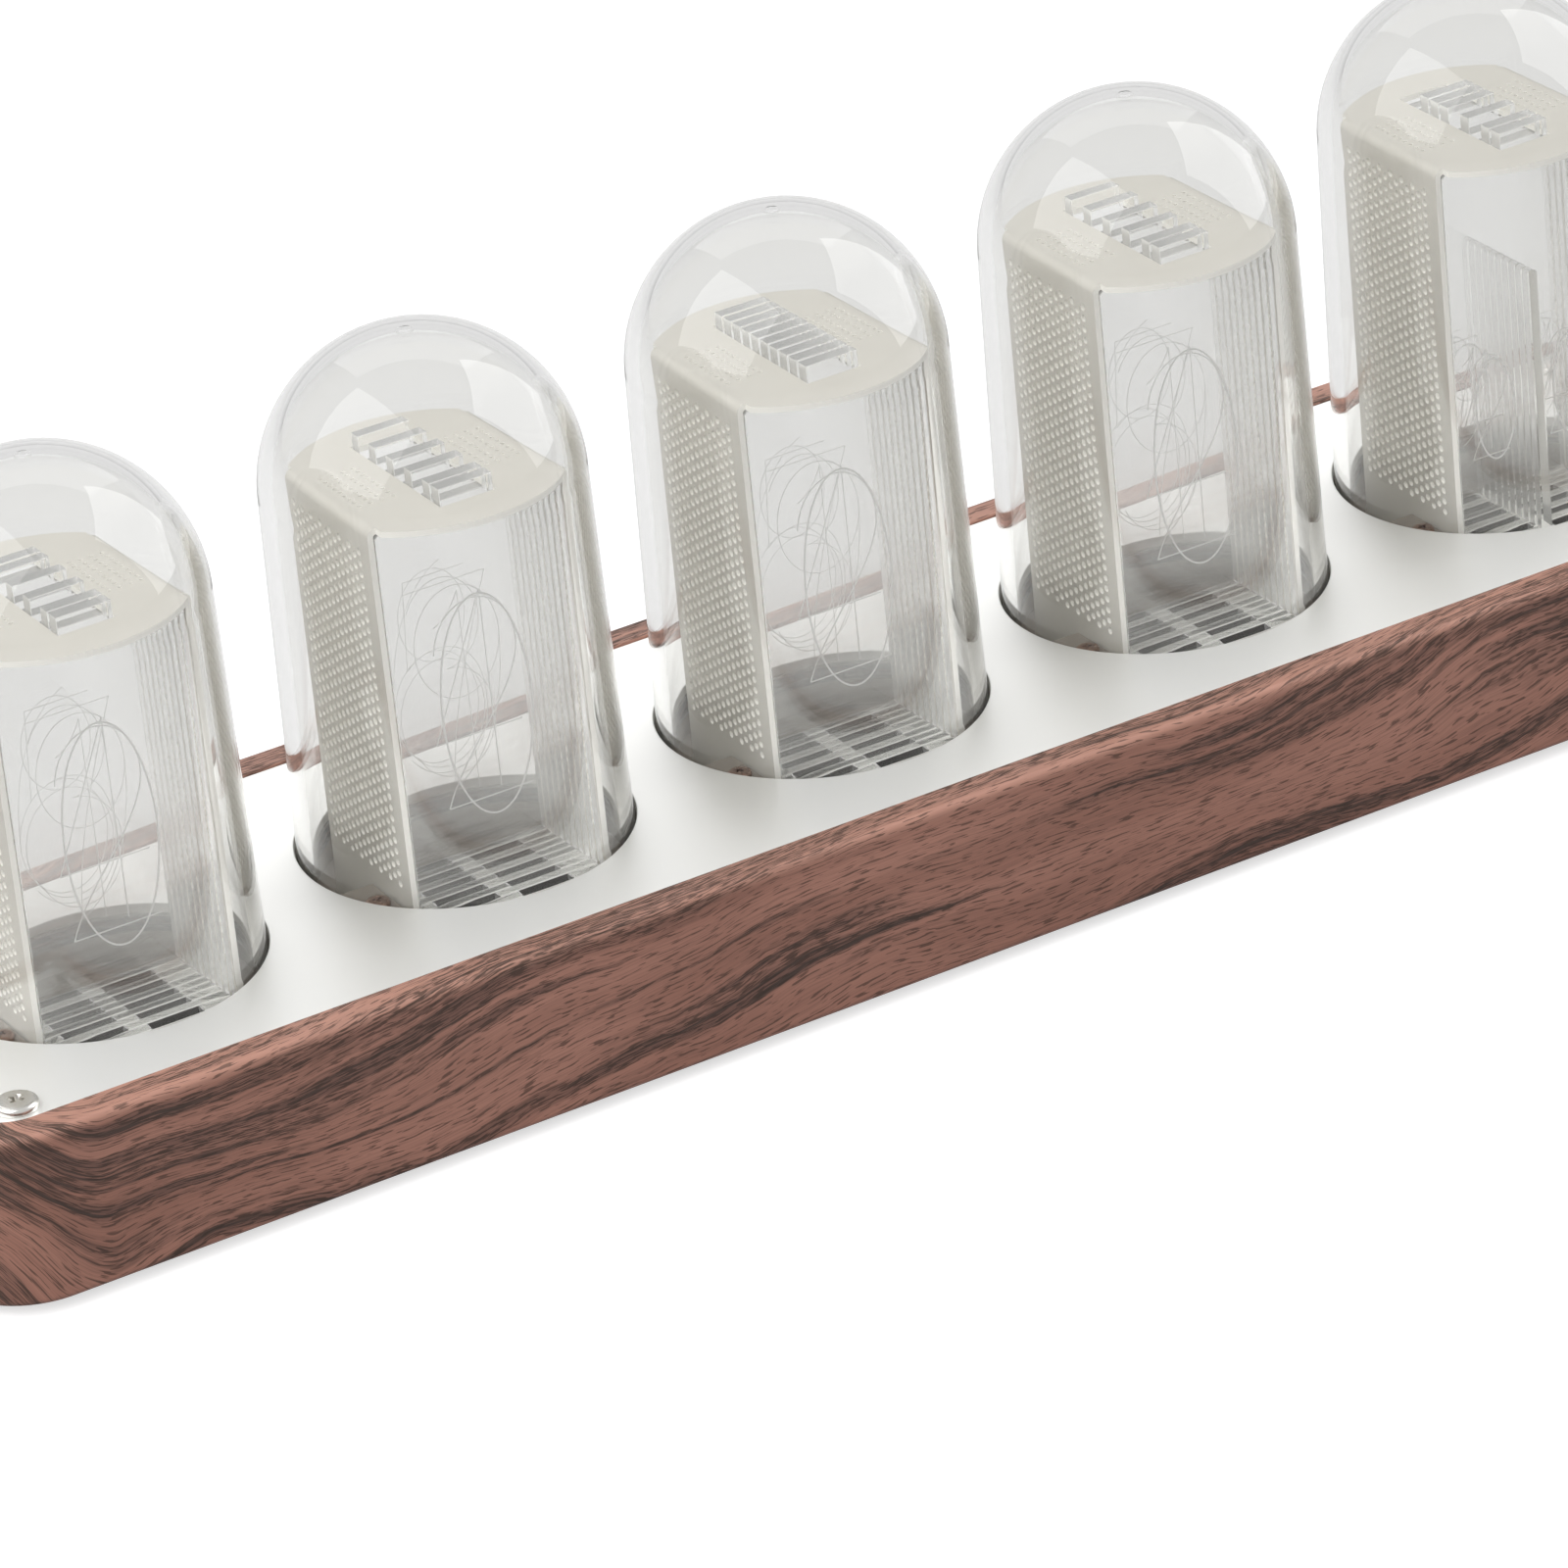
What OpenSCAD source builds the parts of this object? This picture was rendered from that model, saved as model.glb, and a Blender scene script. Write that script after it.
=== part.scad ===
// Desk clock with edge-lit stacks of clear digit plates under glass domes.
// Millimetres, +Z up, the front faces -Y. The origin is on the surface that the
// clock stands on, under the middle of the case. The plates set the size of the
// shroud, the shroud that of the dome, and the domes that of the case.

/* [Case] */
// Height of the wooden frame
frame_h = 24.2; // [23:0.1:32]
// Radius of the frame's upright corners
frame_corner_r = 12; // [9:0.5:13]
// Width of the rim that shows around the top plate
rim_w = 5; // [4:0.1:6]
// Width of the hidden ledge that carries the top plate
ledge_w = 3.2; // [2.6:0.1:4]
// How far the rim stands above the top plate
rim_proud = 0.3; // [0:0.1:1]
// Gap between the sockets and the frame's front and back walls
side_gap = 4.7; // [4:0.1:8]
// Gap between the end sockets and the frame's ends
end_gap = 4.3; // [4:0.1:40]
// Thickness of the aluminium top plate
plate_t = 1.5; // [1:0.1:2.5]
// Thickness of the base cover
base_t = 2; // [1.5:0.1:2.5]
// Gap between each plate and the rim around it
plate_gap = 0.15; // [0.1:0.05:0.4]
// Gap between a corner screw's head and the rim at the frame's end
screw_edge_x = 3.55; // [2.5:0.05:6]
// Gap between a corner screw's head and the rim at the front or back
screw_edge_y = 0.85; // [0.4:0.05:3]

/* [Feet] */
// How far the rubber feet hold the frame above the table
foot_h = 1.5; // [1.5:0.1:4]
// Diameter of a rubber foot
foot_d = 12; // [8:0.5:16]

/* [Digit plates] */
// Number of clear plates in a tube
plate_count = 10; // [6:1:10]
// Width of a clear plate
digit_w = 26.8; // [24:0.1:34]
// Thickness of a clear plate
digit_t = 2; // [1.5:0.1:2.6]
// Gap between neighbouring plates
digit_gap = 0.4; // [0.3:0.05:0.8]
// Width of the tab at the top of a clear plate
tab_w = 7.7; // [6:0.1:9.5]
// How far the tabs stand above the shroud
tab_rise = 2.2; // [1:0.1:4]
// Width of the tongue at the foot of a clear plate
tongue_w = 7.4; // [6:0.1:9]
// Distance of the tongue's inner end from the middle
tongue_in = 1.3; // [1:0.1:2]
// Depth of the tongue
tongue_h = 3.6; // [2:0.1:3.9]
// Height of the slit between two small digits, above the top plate
slit_rise = 33.5; // [25:0.5:42]
// Width of that slit
slit_w = 1.6; // [1:0.1:2]

/* [Mesh shroud] */
// Height of the shroud's top above the top plate
shroud_rise = 52.4; // [44:0.1:65]
// Thickness of the bent sheet
sheet_t = 0.8; // [0.5:0.1:1]
// Radius of the bends
bend_r = 1.2; // [1:0.1:2.5]
// Diameter of the perforations
perf_d = 1.9; // [1:0.1:2.3]
// Spacing of the perforations
perf_pitch = 2.7; // [2.5:0.1:4]
// Plain strip beside the perforations at a leg's front edge
perf_front = 2.9; // [1.5:0.1:5]

/* [Domes] */
// Spacing between neighbouring sockets
tube_gap = 5; // [1:0.1:20]
// How far the dome's shoulder lies below the shroud's top
shoulder_drop = 1.9; // [0:0.1:4]
// Gap between the shroud's corners and the dome's shoulder
shroud_gap = 0.85; // [0.6:0.05:3]
// Wall of a dome
dome_wall = 2; // [1.5:0.1:2.6]
// How much wider a dome is at the top plate than at its shoulder
dome_draft = 1.8; // [0:0.1:3]
// Gap between a dome and its hole in the top plate
dome_gap = 0.3; // [0.2:0.05:0.6]
// Width of the flange that keeps a dome under the top plate
flange_w = 2.1; // [1.5:0.1:3]
// Thickness of that flange
flange_t = 1.6; // [1:0.1:2]
// Thickness of the gasket on the flange
gasket_t = 0.4; // [0.3:0.05:0.8]

/* [Socket] */
// Depth of the light guide's top below the top plate's surface
guide_drop = 5.4; // [4.8:0.1:6]
// Height of the white light guide
guide_h = 5; // [4.6:0.1:6]
// Gap of a tongue, plate or leg in its seat
seat_gap = 0.1; // [0.1:0.05:0.15]
// Thickness of the socket's floor
socket_floor = 2; // [1.5:0.1:3]
// Wall that the socket's ring has outside the flange
socket_wall = 0.6; // [0.5:0.1:2]
// Depth of the socket's screw bosses below the top plate's surface
boss_drop = 2.5; // [2.3:0.1:4]

/* [Electronics] */
// Thickness of the main circuit board
pcb_t = 1.6; // [1.2:0.1:2]
// Gap between the main circuit board and the frame's front and back walls
pcb_gap = 3.3; // [3.2:0.1:4]
// Side of a light-emitting diode package
led_a = 2; // [1.6:0.1:2]
// Height of a light-emitting diode package
led_h = 0.8; // [0.5:0.1:1]

/* [Rear panel] */
// Width of the rear panel
panel_w = 76; // [70:1:100]
// Height of the rear panel
panel_h = 14.6; // [13:0.1:15]
// Thickness of the rear panel
panel_t = 1.5; // [1:0.1:2]
// How deep the rear panel sits in the frame
panel_recess = 1; // [1:0.1:1.5]
// Diameter of a push button
button_d = 5; // [4:0.1:6.5]
// How far a push button stands out of the panel
button_out = 0.8; // [0.6:0.1:0.9]
// Travel of a push button
button_travel = 0.5; // [0.3:0.05:0.6]
// Running gap around a push button and its plunger
button_gap = 0.3; // [0.2:0.05:0.4]

/* [Hidden] */
$fn = 64;
eps = 0.01;
tube_count = 5;
split_tube = tube_count - 1;

// screws, 3 mm and 2 mm
m3_d = 3;
m3_head_d = 5.9;
m3_head_h = 1.3;
m3_hole_d = 3.4;
thread_gap = 0.05;
m2_d = 2;
m2_head_d = 3.8;
m2_small_head_d = 3.2;
m2_head_h = 1;
m2_hole_d = 2.2;
insert_d = 4.6;
insert_h = 5;
standoff_af = 5.5;

// plan of a tube, from the plates out to the socket
digit_pitch = digit_t + digit_gap;
stack_d = (plate_count - 1) * digit_pitch + digit_t;
shroud_in = digit_w / 2 + 2 * seat_gap;
shroud_w = 2 * (shroud_in + sheet_t);
shroud_d = stack_d + seat_gap;
shroud_corner_r = sqrt(pow(shroud_w / 2, 2) + pow(shroud_d / 2, 2));
dome_top_r = shroud_corner_r + shroud_gap + dome_wall;
dome_r = dome_top_r + dome_draft / 2;
hole_r = dome_r + dome_gap;
flange_r = dome_r + flange_w;
socket_r = flange_r + socket_wall;
guide_x = shroud_in - 3 * seat_gap;
guide_y = stack_d / 2 + 0.3;
slot_w = tab_w + 4 * seat_gap;
slot_l = 2 * (guide_y + seat_gap);
boss_y = -7;
boss_w = 12;
boss_r = dome_r - dome_wall - 0.4;
socket_screw_x = shroud_w / 2 + 2.5;

// plan of the case
tube_pitch = 2 * socket_r + tube_gap;
wall_w = rim_w + ledge_w;
frame_l = (tube_count - 1) * tube_pitch + 2 * (socket_r + end_gap + wall_w);
frame_w = 2 * (socket_r + side_gap + wall_w);
inner_l = frame_l - 2 * rim_w;
inner_w = frame_w - 2 * rim_w;
inner_r = frame_corner_r - rim_w;
cavity_l = frame_l - 2 * wall_w;
cavity_w = frame_w - 2 * wall_w;
cavity_r = 3;
post_r = 5.2;
screw_x = inner_l / 2 - m3_head_d / 2 - screw_edge_x;
screw_y = inner_w / 2 - m3_head_d / 2 - screw_edge_y;
pcb_w = cavity_w - 2 * pcb_gap;
pcb_end_gap = 1.8;
pcb_l = cavity_l - 2 * pcb_end_gap;
pcb_notch_x = 12;
pcb_notch_y = 3.5;
standoff_y = pcb_w / 2 - 4;
foot_inset_x = 16.5;
foot_inset_y = 6.2;
foot_x = screw_x - foot_inset_x;
foot_y = screw_y - foot_inset_y;
foot_sink = 0.5;
foot_taper = 0.6;

// heights of the stack, from the table up
frame_z = foot_h;
frame_top = frame_z + frame_h;
plate_top = frame_top - rim_proud;
plate_z = plate_top - plate_t;
base_z = frame_z + 0.3;
base_top = base_z + base_t;
guide_top = plate_top - guide_drop;
pcb_top = guide_top - guide_h;
pcb_z = pcb_top - pcb_t;
socket_top = pcb_top + socket_floor;
flange_top = plate_z - gasket_t;
flange_z = flange_top - flange_t;
boss_top = plate_top - boss_drop;
shroud_top = plate_top + shroud_rise;
digit_top = shroud_top - sheet_t - 2 * seat_gap;
shoulder_z = shroud_top - shoulder_drop;

// tubes in a row, and which plates of each tube carry a top tab, front plate first
function tube_x(i) = (i - (tube_count - 1) / 2) * tube_pitch;
function digit_y(k) = (k - (plate_count - 1) / 2) * digit_pitch;
function tongue_side(k) = k % 2 == 0 ? 1 : -1;
TABS = [[0, 1, 3, 5, 7, 8], [0, 1, 3, 5, 7, 9], [0, 1, 2, 3, 4, 5, 6, 7, 8, 9],
        [0, 1, 3, 5, 7, 9], [0, 1, 3, 5, 6, 7]];
standoff_x = [for (i = [0 : tube_count - 2]) (tube_x(i) + tube_x(i + 1)) / 2];

// parts under the main board, and the row of sound holes in the base cover
coin_d = 20;
coin_y = -2;
coin_z = pcb_z - 4.2;
holder_h = 4.6;
buzzer_d = 12;
buzzer_h = 6;
buzzer_y = -2;
sound_d = 1.6;
sound_pitch = 3;
cap_l = 1.6;
cap_w = 0.8;
cap_row_y = 7.1 - pcb_w / 2;

// rear panel, its board and what is on it
panel_y = frame_w / 2 - panel_recess - panel_t;
panel_mid_z = frame_z + 11;
window_w = panel_w - 12;
window_h = panel_h - 2.6;
board_t = 1.2;
switch_a = 6;
switch_t = 3.5;
plunger_d = 3;
plunger_l = 1.9;
collar_d = button_d + 2;
collar_t = 1.2;
button_rear = panel_y - 0.3 - collar_t;
plunger_y = button_rear - plunger_l;
switch_y = button_rear - 1.1 - switch_t;
board_y = switch_y - board_t;
board_l = window_w - 2;
button_x = [-20, -9, 2];
usb_x = 18;
usb_w = 9;
usb_h = 3.3;
panel_post_x = window_w / 2 - 3.5;
panel_post_d = 4.5;
panel_screw_x = panel_w / 2 - 3;
panel_fit = 0.2;

// Flat outline of a plate or ring: a rectangle with round corners.
module round_rect(l, w, r) {
    difference() {
        square([l, w], center = true);
        for (sx = [-1, 1])
            for (sy = [-1, 1])
                translate([sx * (l / 2 - r), sy * (w / 2 - r)])
                    difference() {
                        translate([sx > 0 ? 0 : -r - 1, sy > 0 ? 0 : -r - 1]) square(r + 1);
                        circle(r);
                    }
    }
}

module slab(l, w, r, z0, z1) {
    translate([0, 0, z0]) linear_extrude(z1 - z0) round_rect(l, w, r);
}

module box(x0, x1, y0, y1, z0, z1) {
    translate([x0, y0, z0]) cube([x1 - x0, y1 - y0, z1 - z0]);
}

module at_corners(x, y) {
    for (sx = [-1, 1])
        for (sy = [-1, 1])
            translate([sx * x, sy * y, 0]) children();
}

module at_standoffs() {
    for (x = standoff_x)
        for (sy = [-1, 1])
            translate([x, sy * standoff_y, 0]) children();
}

// A pan-head screw pointing down, its head resting on z = 0.
module screw(d, l, head_d, head_h) {
    cross_l = head_d * 0.44;
    cross_w = head_d * 0.12;
    difference() {
        union() {
            rotate_extrude()
                polygon([[0, 0], [head_d / 2, 0], [head_d / 2, head_h * 0.55],
                         [head_d / 2 - head_h * 0.45, head_h], [0, head_h]]);
            translate([0, 0, -l]) cylinder(d = d, h = l + eps);
        }
        translate([0, 0, head_h * 0.3]) {
            translate([-cross_l / 2, -cross_w / 2, 0]) cube([cross_l, cross_w, head_h]);
            translate([-cross_w / 2, -cross_l / 2, 0]) cube([cross_w, cross_l, head_h]);
        }
    }
}

// ---- case ----

// The ring of the case: a rebate above for the top plate, one below for the base
// cover, a post in each corner for the screws and a window for the rear panel.
module wood_frame() {
    color("#8a6457") difference() {
        slab(frame_l, frame_w, frame_corner_r, frame_z, frame_top);
        slab(inner_l, inner_w, inner_r, plate_z, frame_top + 1);
        slab(inner_l, inner_w, inner_r, frame_z - 1, base_top);
        difference() {
            slab(cavity_l, cavity_w, cavity_r, frame_z - 1, frame_top + 1);
            for (sx = [-1, 1])
                for (sy = [-1, 1])
                    translate([sx * screw_x, sy * screw_y, frame_z])
                        corner_post(sx, sy);
        }
        at_corners(screw_x, screw_y)
            for (z = [plate_z - insert_h, base_top - eps])
                translate([0, 0, z]) cylinder(d = insert_d, h = insert_h + eps);
        translate([0, panel_y, panel_mid_z - panel_h / 2])
            translate([-panel_w / 2, 0, 0]) cube([panel_w, 10, panel_h]);
        box(-window_w / 2, window_w / 2, cavity_w / 2 - 1, frame_w / 2 + 1,
            panel_mid_z - window_h / 2, panel_mid_z + window_h / 2);
        for (sx = [-1, 1])
            translate([sx * panel_screw_x, panel_y + eps, panel_mid_z])
                rotate([90, 0, 0]) cylinder(d = m2_d + 2 * thread_gap, h = 4.5);
    }
}

// The screw post of one corner, with the corner behind it filled in.
module corner_post(sx, sy) {
    cylinder(r = post_r, h = frame_h);
    translate([sx > 0 ? 0 : -post_r, -post_r, 0]) cube([post_r, 2 * post_r, frame_h]);
    translate([-post_r, sy > 0 ? 0 : -post_r, 0]) cube([2 * post_r, post_r, frame_h]);
}

module top_plate() {
    color("#e0e1de") difference() {
        slab(inner_l - 2 * plate_gap, inner_w - 2 * plate_gap, inner_r - plate_gap, plate_z, plate_top);
        for (i = [0 : tube_count - 1])
            translate([tube_x(i), 0, plate_z - 1]) cylinder(r = hole_r, h = plate_t + 2, $fn = 96);
        at_corners(screw_x, screw_y)
            translate([0, 0, plate_z - 1]) cylinder(d = m3_hole_d, h = plate_t + 2);
    }
}

module top_plate_screws() {
    color("#d8d8d6") at_corners(screw_x, screw_y)
        translate([0, 0, plate_top]) screw(m3_d, plate_t + insert_h - 0.5, m3_head_d, m3_head_h);
}

// Brass inserts in both ends of each corner post.
module frame_inserts() {
    color("#c9a25a") at_corners(screw_x, screw_y)
        for (z = [plate_z - insert_h, base_top])
            translate([0, 0, z]) difference() {
                cylinder(d = insert_d - 2 * thread_gap, h = insert_h);
                translate([0, 0, -1]) cylinder(d = m3_d + 2 * thread_gap, h = insert_h + 2);
            }
}

module base_cover() {
    color("#2b2b2d") difference() {
        slab(inner_l - 2 * plate_gap, inner_w - 2 * plate_gap, inner_r - plate_gap, base_z, base_top);
        at_corners(screw_x, screw_y)
            translate([0, 0, base_z - 1]) cylinder(d = m3_hole_d, h = base_t + 2);
        at_standoffs()
            translate([0, 0, base_z - 1]) cylinder(d = m3_hole_d, h = base_t + 2);
        at_corners(foot_x, foot_y)
            translate([0, 0, base_z - 1]) cylinder(d = foot_d + 0.2, h = 1 + foot_sink);
        for (k = [-3 : 3])
            translate([tube_x(tube_count - 1) + k * sound_pitch, buzzer_y, base_z - 1])
                cylinder(d = sound_d, h = base_t + 2);
    }
}

module base_screws() {
    color("#b9b9b8") {
        at_corners(screw_x, screw_y)
            translate([0, 0, base_z]) rotate([180, 0, 0])
                screw(m3_d, base_t + insert_h - 0.5, m3_head_d, m3_head_h);
        at_standoffs()
            translate([0, 0, base_z]) rotate([180, 0, 0])
                screw(m3_d, base_t + 3.5, m3_head_d, m3_head_h);
    }
}

module rubber_feet() {
    color("#1d1d1e") at_corners(foot_x, foot_y) {
        cylinder(d1 = foot_d - 2 * foot_taper, d2 = foot_d, h = foot_taper);
        translate([0, 0, foot_taper]) cylinder(d = foot_d, h = base_z + foot_sink - foot_taper);
    }
}

// ---- tubes ----

// A dome: a slightly tapered wall, a round top and a flange under the top plate.
module glass_dome(i) {
    color("#dfe9ea", 0.35) translate([tube_x(i), 0, 0]) rotate_extrude($fn = 96)
        difference() {
            union() {
                polygon([[0, flange_z], [dome_r, flange_z], [dome_r, plate_top],
                         [dome_top_r, shoulder_z], [0, shoulder_z]]);
                translate([0, flange_z]) square([flange_r, flange_t]);
                translate([0, shoulder_z]) quarter_disc(dome_top_r);
            }
            polygon([[-1, flange_z - 1], [dome_r - dome_wall, flange_z - 1],
                     [dome_r - dome_wall, plate_top], [dome_top_r - dome_wall, shoulder_z],
                     [-1, shoulder_z]]);
            translate([0, shoulder_z]) quarter_disc(dome_top_r - dome_wall);
        }
}

module quarter_disc(r) {
    intersection() {
        circle(r, $fn = 96);
        square(r);
    }
}

module dome_gaskets() {
    color("#3a3a3c") for (i = [0 : tube_count - 1])
        translate([tube_x(i), 0, flange_top]) difference() {
            cylinder(r = flange_r, h = gasket_t);
            translate([0, 0, -1]) cylinder(r = hole_r, h = gasket_t + 2);
        }
}

// Outline of the shroud's flat top: straight bent sides, round front and back.
module shroud_outline(w) {
    intersection() {
        circle(shroud_corner_r, $fn = 96);
        square([w, 2 * shroud_corner_r], center = true);
    }
}

// The bent sheet: a flat top with a slot for the tabs, and two perforated legs.
module mesh_shroud(i) {
    plain_top = 3;
    plain_back = 2.5;
    row_h = perf_pitch * sqrt(3) / 2;
    rows = floor((shroud_rise - bend_r - plain_top) / row_h);
    columns = floor((shroud_d - perf_front - plain_back) / perf_pitch);
    perf_y = perf_front + perf_d / 2 - shroud_d / 2;
    vent_d = 1;
    vent_pitch = 3.2;
    vent_x = (slot_w / 2 + shroud_in) / 2;
    color("#c9c4bb") translate([tube_x(i), 0, 0]) difference() {
        union() {
            translate([0, 0, shroud_top - sheet_t]) linear_extrude(sheet_t)
                shroud_outline(shroud_w - 2 * bend_r);
            for (s = [-1, 1]) {
                box(s > 0 ? shroud_in : -shroud_w / 2, s > 0 ? shroud_w / 2 : -shroud_in,
                    -shroud_d / 2, shroud_d / 2, socket_top, shroud_top - bend_r);
                sheet_bend(s);
            }
        }
        box(-slot_w / 2, slot_w / 2, -slot_l / 2, slot_l / 2, shroud_top - 2 * sheet_t, shroud_top + 1);
        for (r = [0 : rows])
            for (c = [0 : columns - r % 2])
                translate([-shroud_w, perf_y + (c + r % 2 / 2) * perf_pitch,
                           plate_top + 0.5 + r * row_h])
                    rotate([0, 90, 0]) cylinder(d = perf_d, h = 2 * shroud_w, $fn = 24);
        for (s = [-1, 1])
            for (a = [-2 : 2])
                translate([s * vent_x, a * vent_pitch, shroud_top - 2 * sheet_t])
                    cylinder(d = vent_d, h = 3 * sheet_t, $fn = 24);
    }
}

// One of the two rounded bends between the shroud's top and its legs.
module sheet_bend(s) {
    translate([s * (shroud_w / 2 - bend_r), 0, shroud_top - bend_r])
        rotate([90, 0, 0]) translate([0, 0, -shroud_d / 2]) linear_extrude(shroud_d)
            intersection() {
                difference() {
                    circle(bend_r);
                    circle(bend_r - sheet_t);
                }
                translate([s > 0 ? 0 : -bend_r, 0]) square(bend_r);
            }
}

// The stack of clear plates. Each has a tongue over its own light slot; the tongues
// alternate right and left from the front plate back.
module digit_plates(i) {
    color("#eef3f3", 0.35) translate([tube_x(i), 0, 0])
        for (k = [0 : plate_count - 1])
            translate([0, digit_y(k) + digit_t / 2, 0]) rotate([90, 0, 0])
                linear_extrude(digit_t) digit_outline(i, k);
}

module digit_outline(i, k) {
    s = tongue_side(k);
    tongue_x = s > 0 ? tongue_in : -tongue_in - tongue_w;
    difference() {
        union() {
            polygon([[-digit_w / 2, guide_top], [digit_w / 2, guide_top],
                     [digit_w / 2, digit_top - bend_r / 2], [digit_w / 2 - bend_r / 2, digit_top],
                     [bend_r / 2 - digit_w / 2, digit_top], [-digit_w / 2, digit_top - bend_r / 2]]);
            translate([tongue_x, guide_top - tongue_h]) square([tongue_w, tongue_h + eps]);
            if (len(search(k, TABS[i])) > 0)
                translate([-tab_w / 2, digit_top - eps])
                    square([tab_w, shroud_top + tab_rise - digit_top]);
        }
        if (i == split_tube) {
            translate([-slit_w / 2, guide_top - 1])
                square([slit_w, plate_top + slit_rise - slit_w / 2 - guide_top + 1]);
            translate([0, plate_top + slit_rise - slit_w / 2]) circle(d = slit_w, $fn = 24);
        }
    }
}

// The white block that the plates stand on, with one slot for each tongue.
module light_guide(i) {
    color("#f2f2f0") translate([tube_x(i), 0, 0]) difference() {
        box(-guide_x, guide_x, -guide_y, guide_y, pcb_top, guide_top);
        for (k = [0 : plate_count - 1]) {
            s = tongue_side(k);
            x0 = s > 0 ? tongue_in - seat_gap : -tongue_in - tongue_w - seat_gap;
            box(x0, x0 + tongue_w + 2 * seat_gap,
                digit_y(k) - digit_t / 2 - seat_gap, digit_y(k) + digit_t / 2 + seat_gap,
                pcb_top - 1, guide_top + 1);
        }
    }
}

// The moulded socket: a floor that carries the shroud's legs, a ring that carries the
// dome's flange and two bosses for its screws.
module tube_socket(i) {
    color("#8f8a82") translate([tube_x(i), 0, 0]) difference() {
        union() {
            translate([0, 0, pcb_top]) cylinder(r = socket_r, h = socket_floor, $fn = 96);
            translate([0, 0, pcb_top]) difference() {
                cylinder(r = socket_r, h = flange_z - pcb_top, $fn = 96);
                translate([0, 0, socket_floor / 2]) cylinder(r = hole_r + 0.1, h = 20, $fn = 96);
            }
            for (a = [0, 180])
                rotate([0, 0, a]) translate([0, 0, pcb_top]) linear_extrude(boss_top - pcb_top)
                    intersection() {
                        circle(boss_r, $fn = 96);
                        translate([-boss_r, boss_y - boss_w / 2])
                            square([boss_r - shroud_w / 2 - 0.3, boss_w]);
                    }
        }
        box(-guide_x - seat_gap, guide_x + seat_gap, -guide_y - seat_gap, guide_y + seat_gap,
            pcb_top - 1, socket_top + 1);
        for (a = [0, 180])
            rotate([0, 0, a]) translate([-socket_screw_x, boss_y, pcb_top - 1])
                cylinder(d = m2_hole_d, h = 20);
    }
}

module socket_screws() {
    color("#b87950") for (i = [0 : tube_count - 1])
        for (a = [0, 180])
            translate([tube_x(i), 0, 0]) rotate([0, 0, a])
                translate([-socket_screw_x, boss_y, boss_top])
                    screw(m2_d, boss_top - pcb_z + 1.5, m2_small_head_d, m2_head_h);
}

// Two light-emitting diodes under each tongue.
module led_packages() {
    color("#f5f0dc") for (i = [0 : tube_count - 1])
        for (k = [0 : plate_count - 1])
            for (m = [-1, 1])
                translate([tube_x(i) + tongue_side(k) * (tongue_in + tongue_w / 2) + m * tongue_w / 4,
                           digit_y(k), pcb_top])
                    translate([-led_a / 2, -led_a / 2, 0]) cube([led_a, led_a, led_h]);
}

// ---- electronics ----

module main_pcb() {
    color("#1f3d2c") difference() {
        union() {
            box(pcb_notch_x - pcb_l / 2, pcb_l / 2 - pcb_notch_x, -pcb_w / 2, pcb_w / 2, pcb_z, pcb_top);
            box(-pcb_l / 2, pcb_l / 2, pcb_notch_y - pcb_w / 2, pcb_w / 2 - pcb_notch_y, pcb_z, pcb_top);
        }
        at_standoffs()
            translate([0, 0, pcb_z - 1]) cylinder(d = m3_hole_d, h = pcb_t + 2);
        for (i = [0 : tube_count - 1])
            for (a = [0, 180])
                translate([tube_x(i), 0, 0]) rotate([0, 0, a])
                    translate([-socket_screw_x, boss_y, pcb_z - 1])
                        cylinder(d = m2_hole_d, h = pcb_t + 2);
    }
}

module pcb_screws() {
    color("#c4c4c2") at_standoffs()
        translate([0, 0, pcb_top]) screw(m3_d, pcb_t + 3.5, m3_head_d, m3_head_h);
}

module pcb_standoffs() {
    color("#c9a25a") at_standoffs()
        translate([0, 0, base_top]) difference() {
            cylinder(r = standoff_af / sqrt(3), h = pcb_z - base_top, $fn = 6);
            translate([0, 0, -1]) cylinder(d = m3_d + 2 * thread_gap, h = pcb_z - base_top + 2);
        }
}

// A chip under the board, with a row of leads along two sides.
module leaded_chip(x, y, l, w, h, pins) {
    pitch = l / (pins + 1);
    lead_l = 1;
    translate([x, y, pcb_z - h]) {
        translate([-l / 2, -w / 2, 0]) cube([l, w, h - 0.1]);
        for (s = [-1, 1])
            for (p = [1 : pins])
                translate([-l / 2 + p * pitch - 0.2, s > 0 ? w / 2 - eps : -w / 2 - lead_l, h - 0.3])
                    cube([0.4, lead_l + eps, 0.3]);
    }
}

module microcontroller() {
    color("#2a2a2c") leaded_chip(x = tube_x(1), y = 2, l = 12, w = 12, h = 1.4, pins = 12);
}

module clock_chip() {
    color("#2a2a2c") leaded_chip(x = standoff_x[1], y = 9, l = 10, w = 7.5, h = 2.3, pins = 8);
}

module clock_crystal() {
    color("#c9cacb") translate([standoff_x[1] - 4, 0, pcb_z - 1.5])
        rotate([0, 90, 0]) cylinder(d = 3, h = 8);
}

module voltage_regulator() {
    color("#2a2a2c") leaded_chip(x = standoff_x[2], y = 9, l = 6.5, w = 6.5, h = 2.3, pins = 3);
}

module power_capacitors() {
    can_d = 8;
    can_h = 6.5;
    foot_a = 8.2;
    can_x = tube_x(3) - socket_screw_x + foot_a / 2 + 2.2;
    color("#d2d3d4") for (y = [-9, 3])
        translate([can_x, y, pcb_z - can_h - 1]) {
            cylinder(d = can_d, h = can_h);
            translate([-foot_a / 2, -foot_a / 2, can_h - eps]) cube([foot_a, foot_a, 1 + eps]);
        }
}

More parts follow.
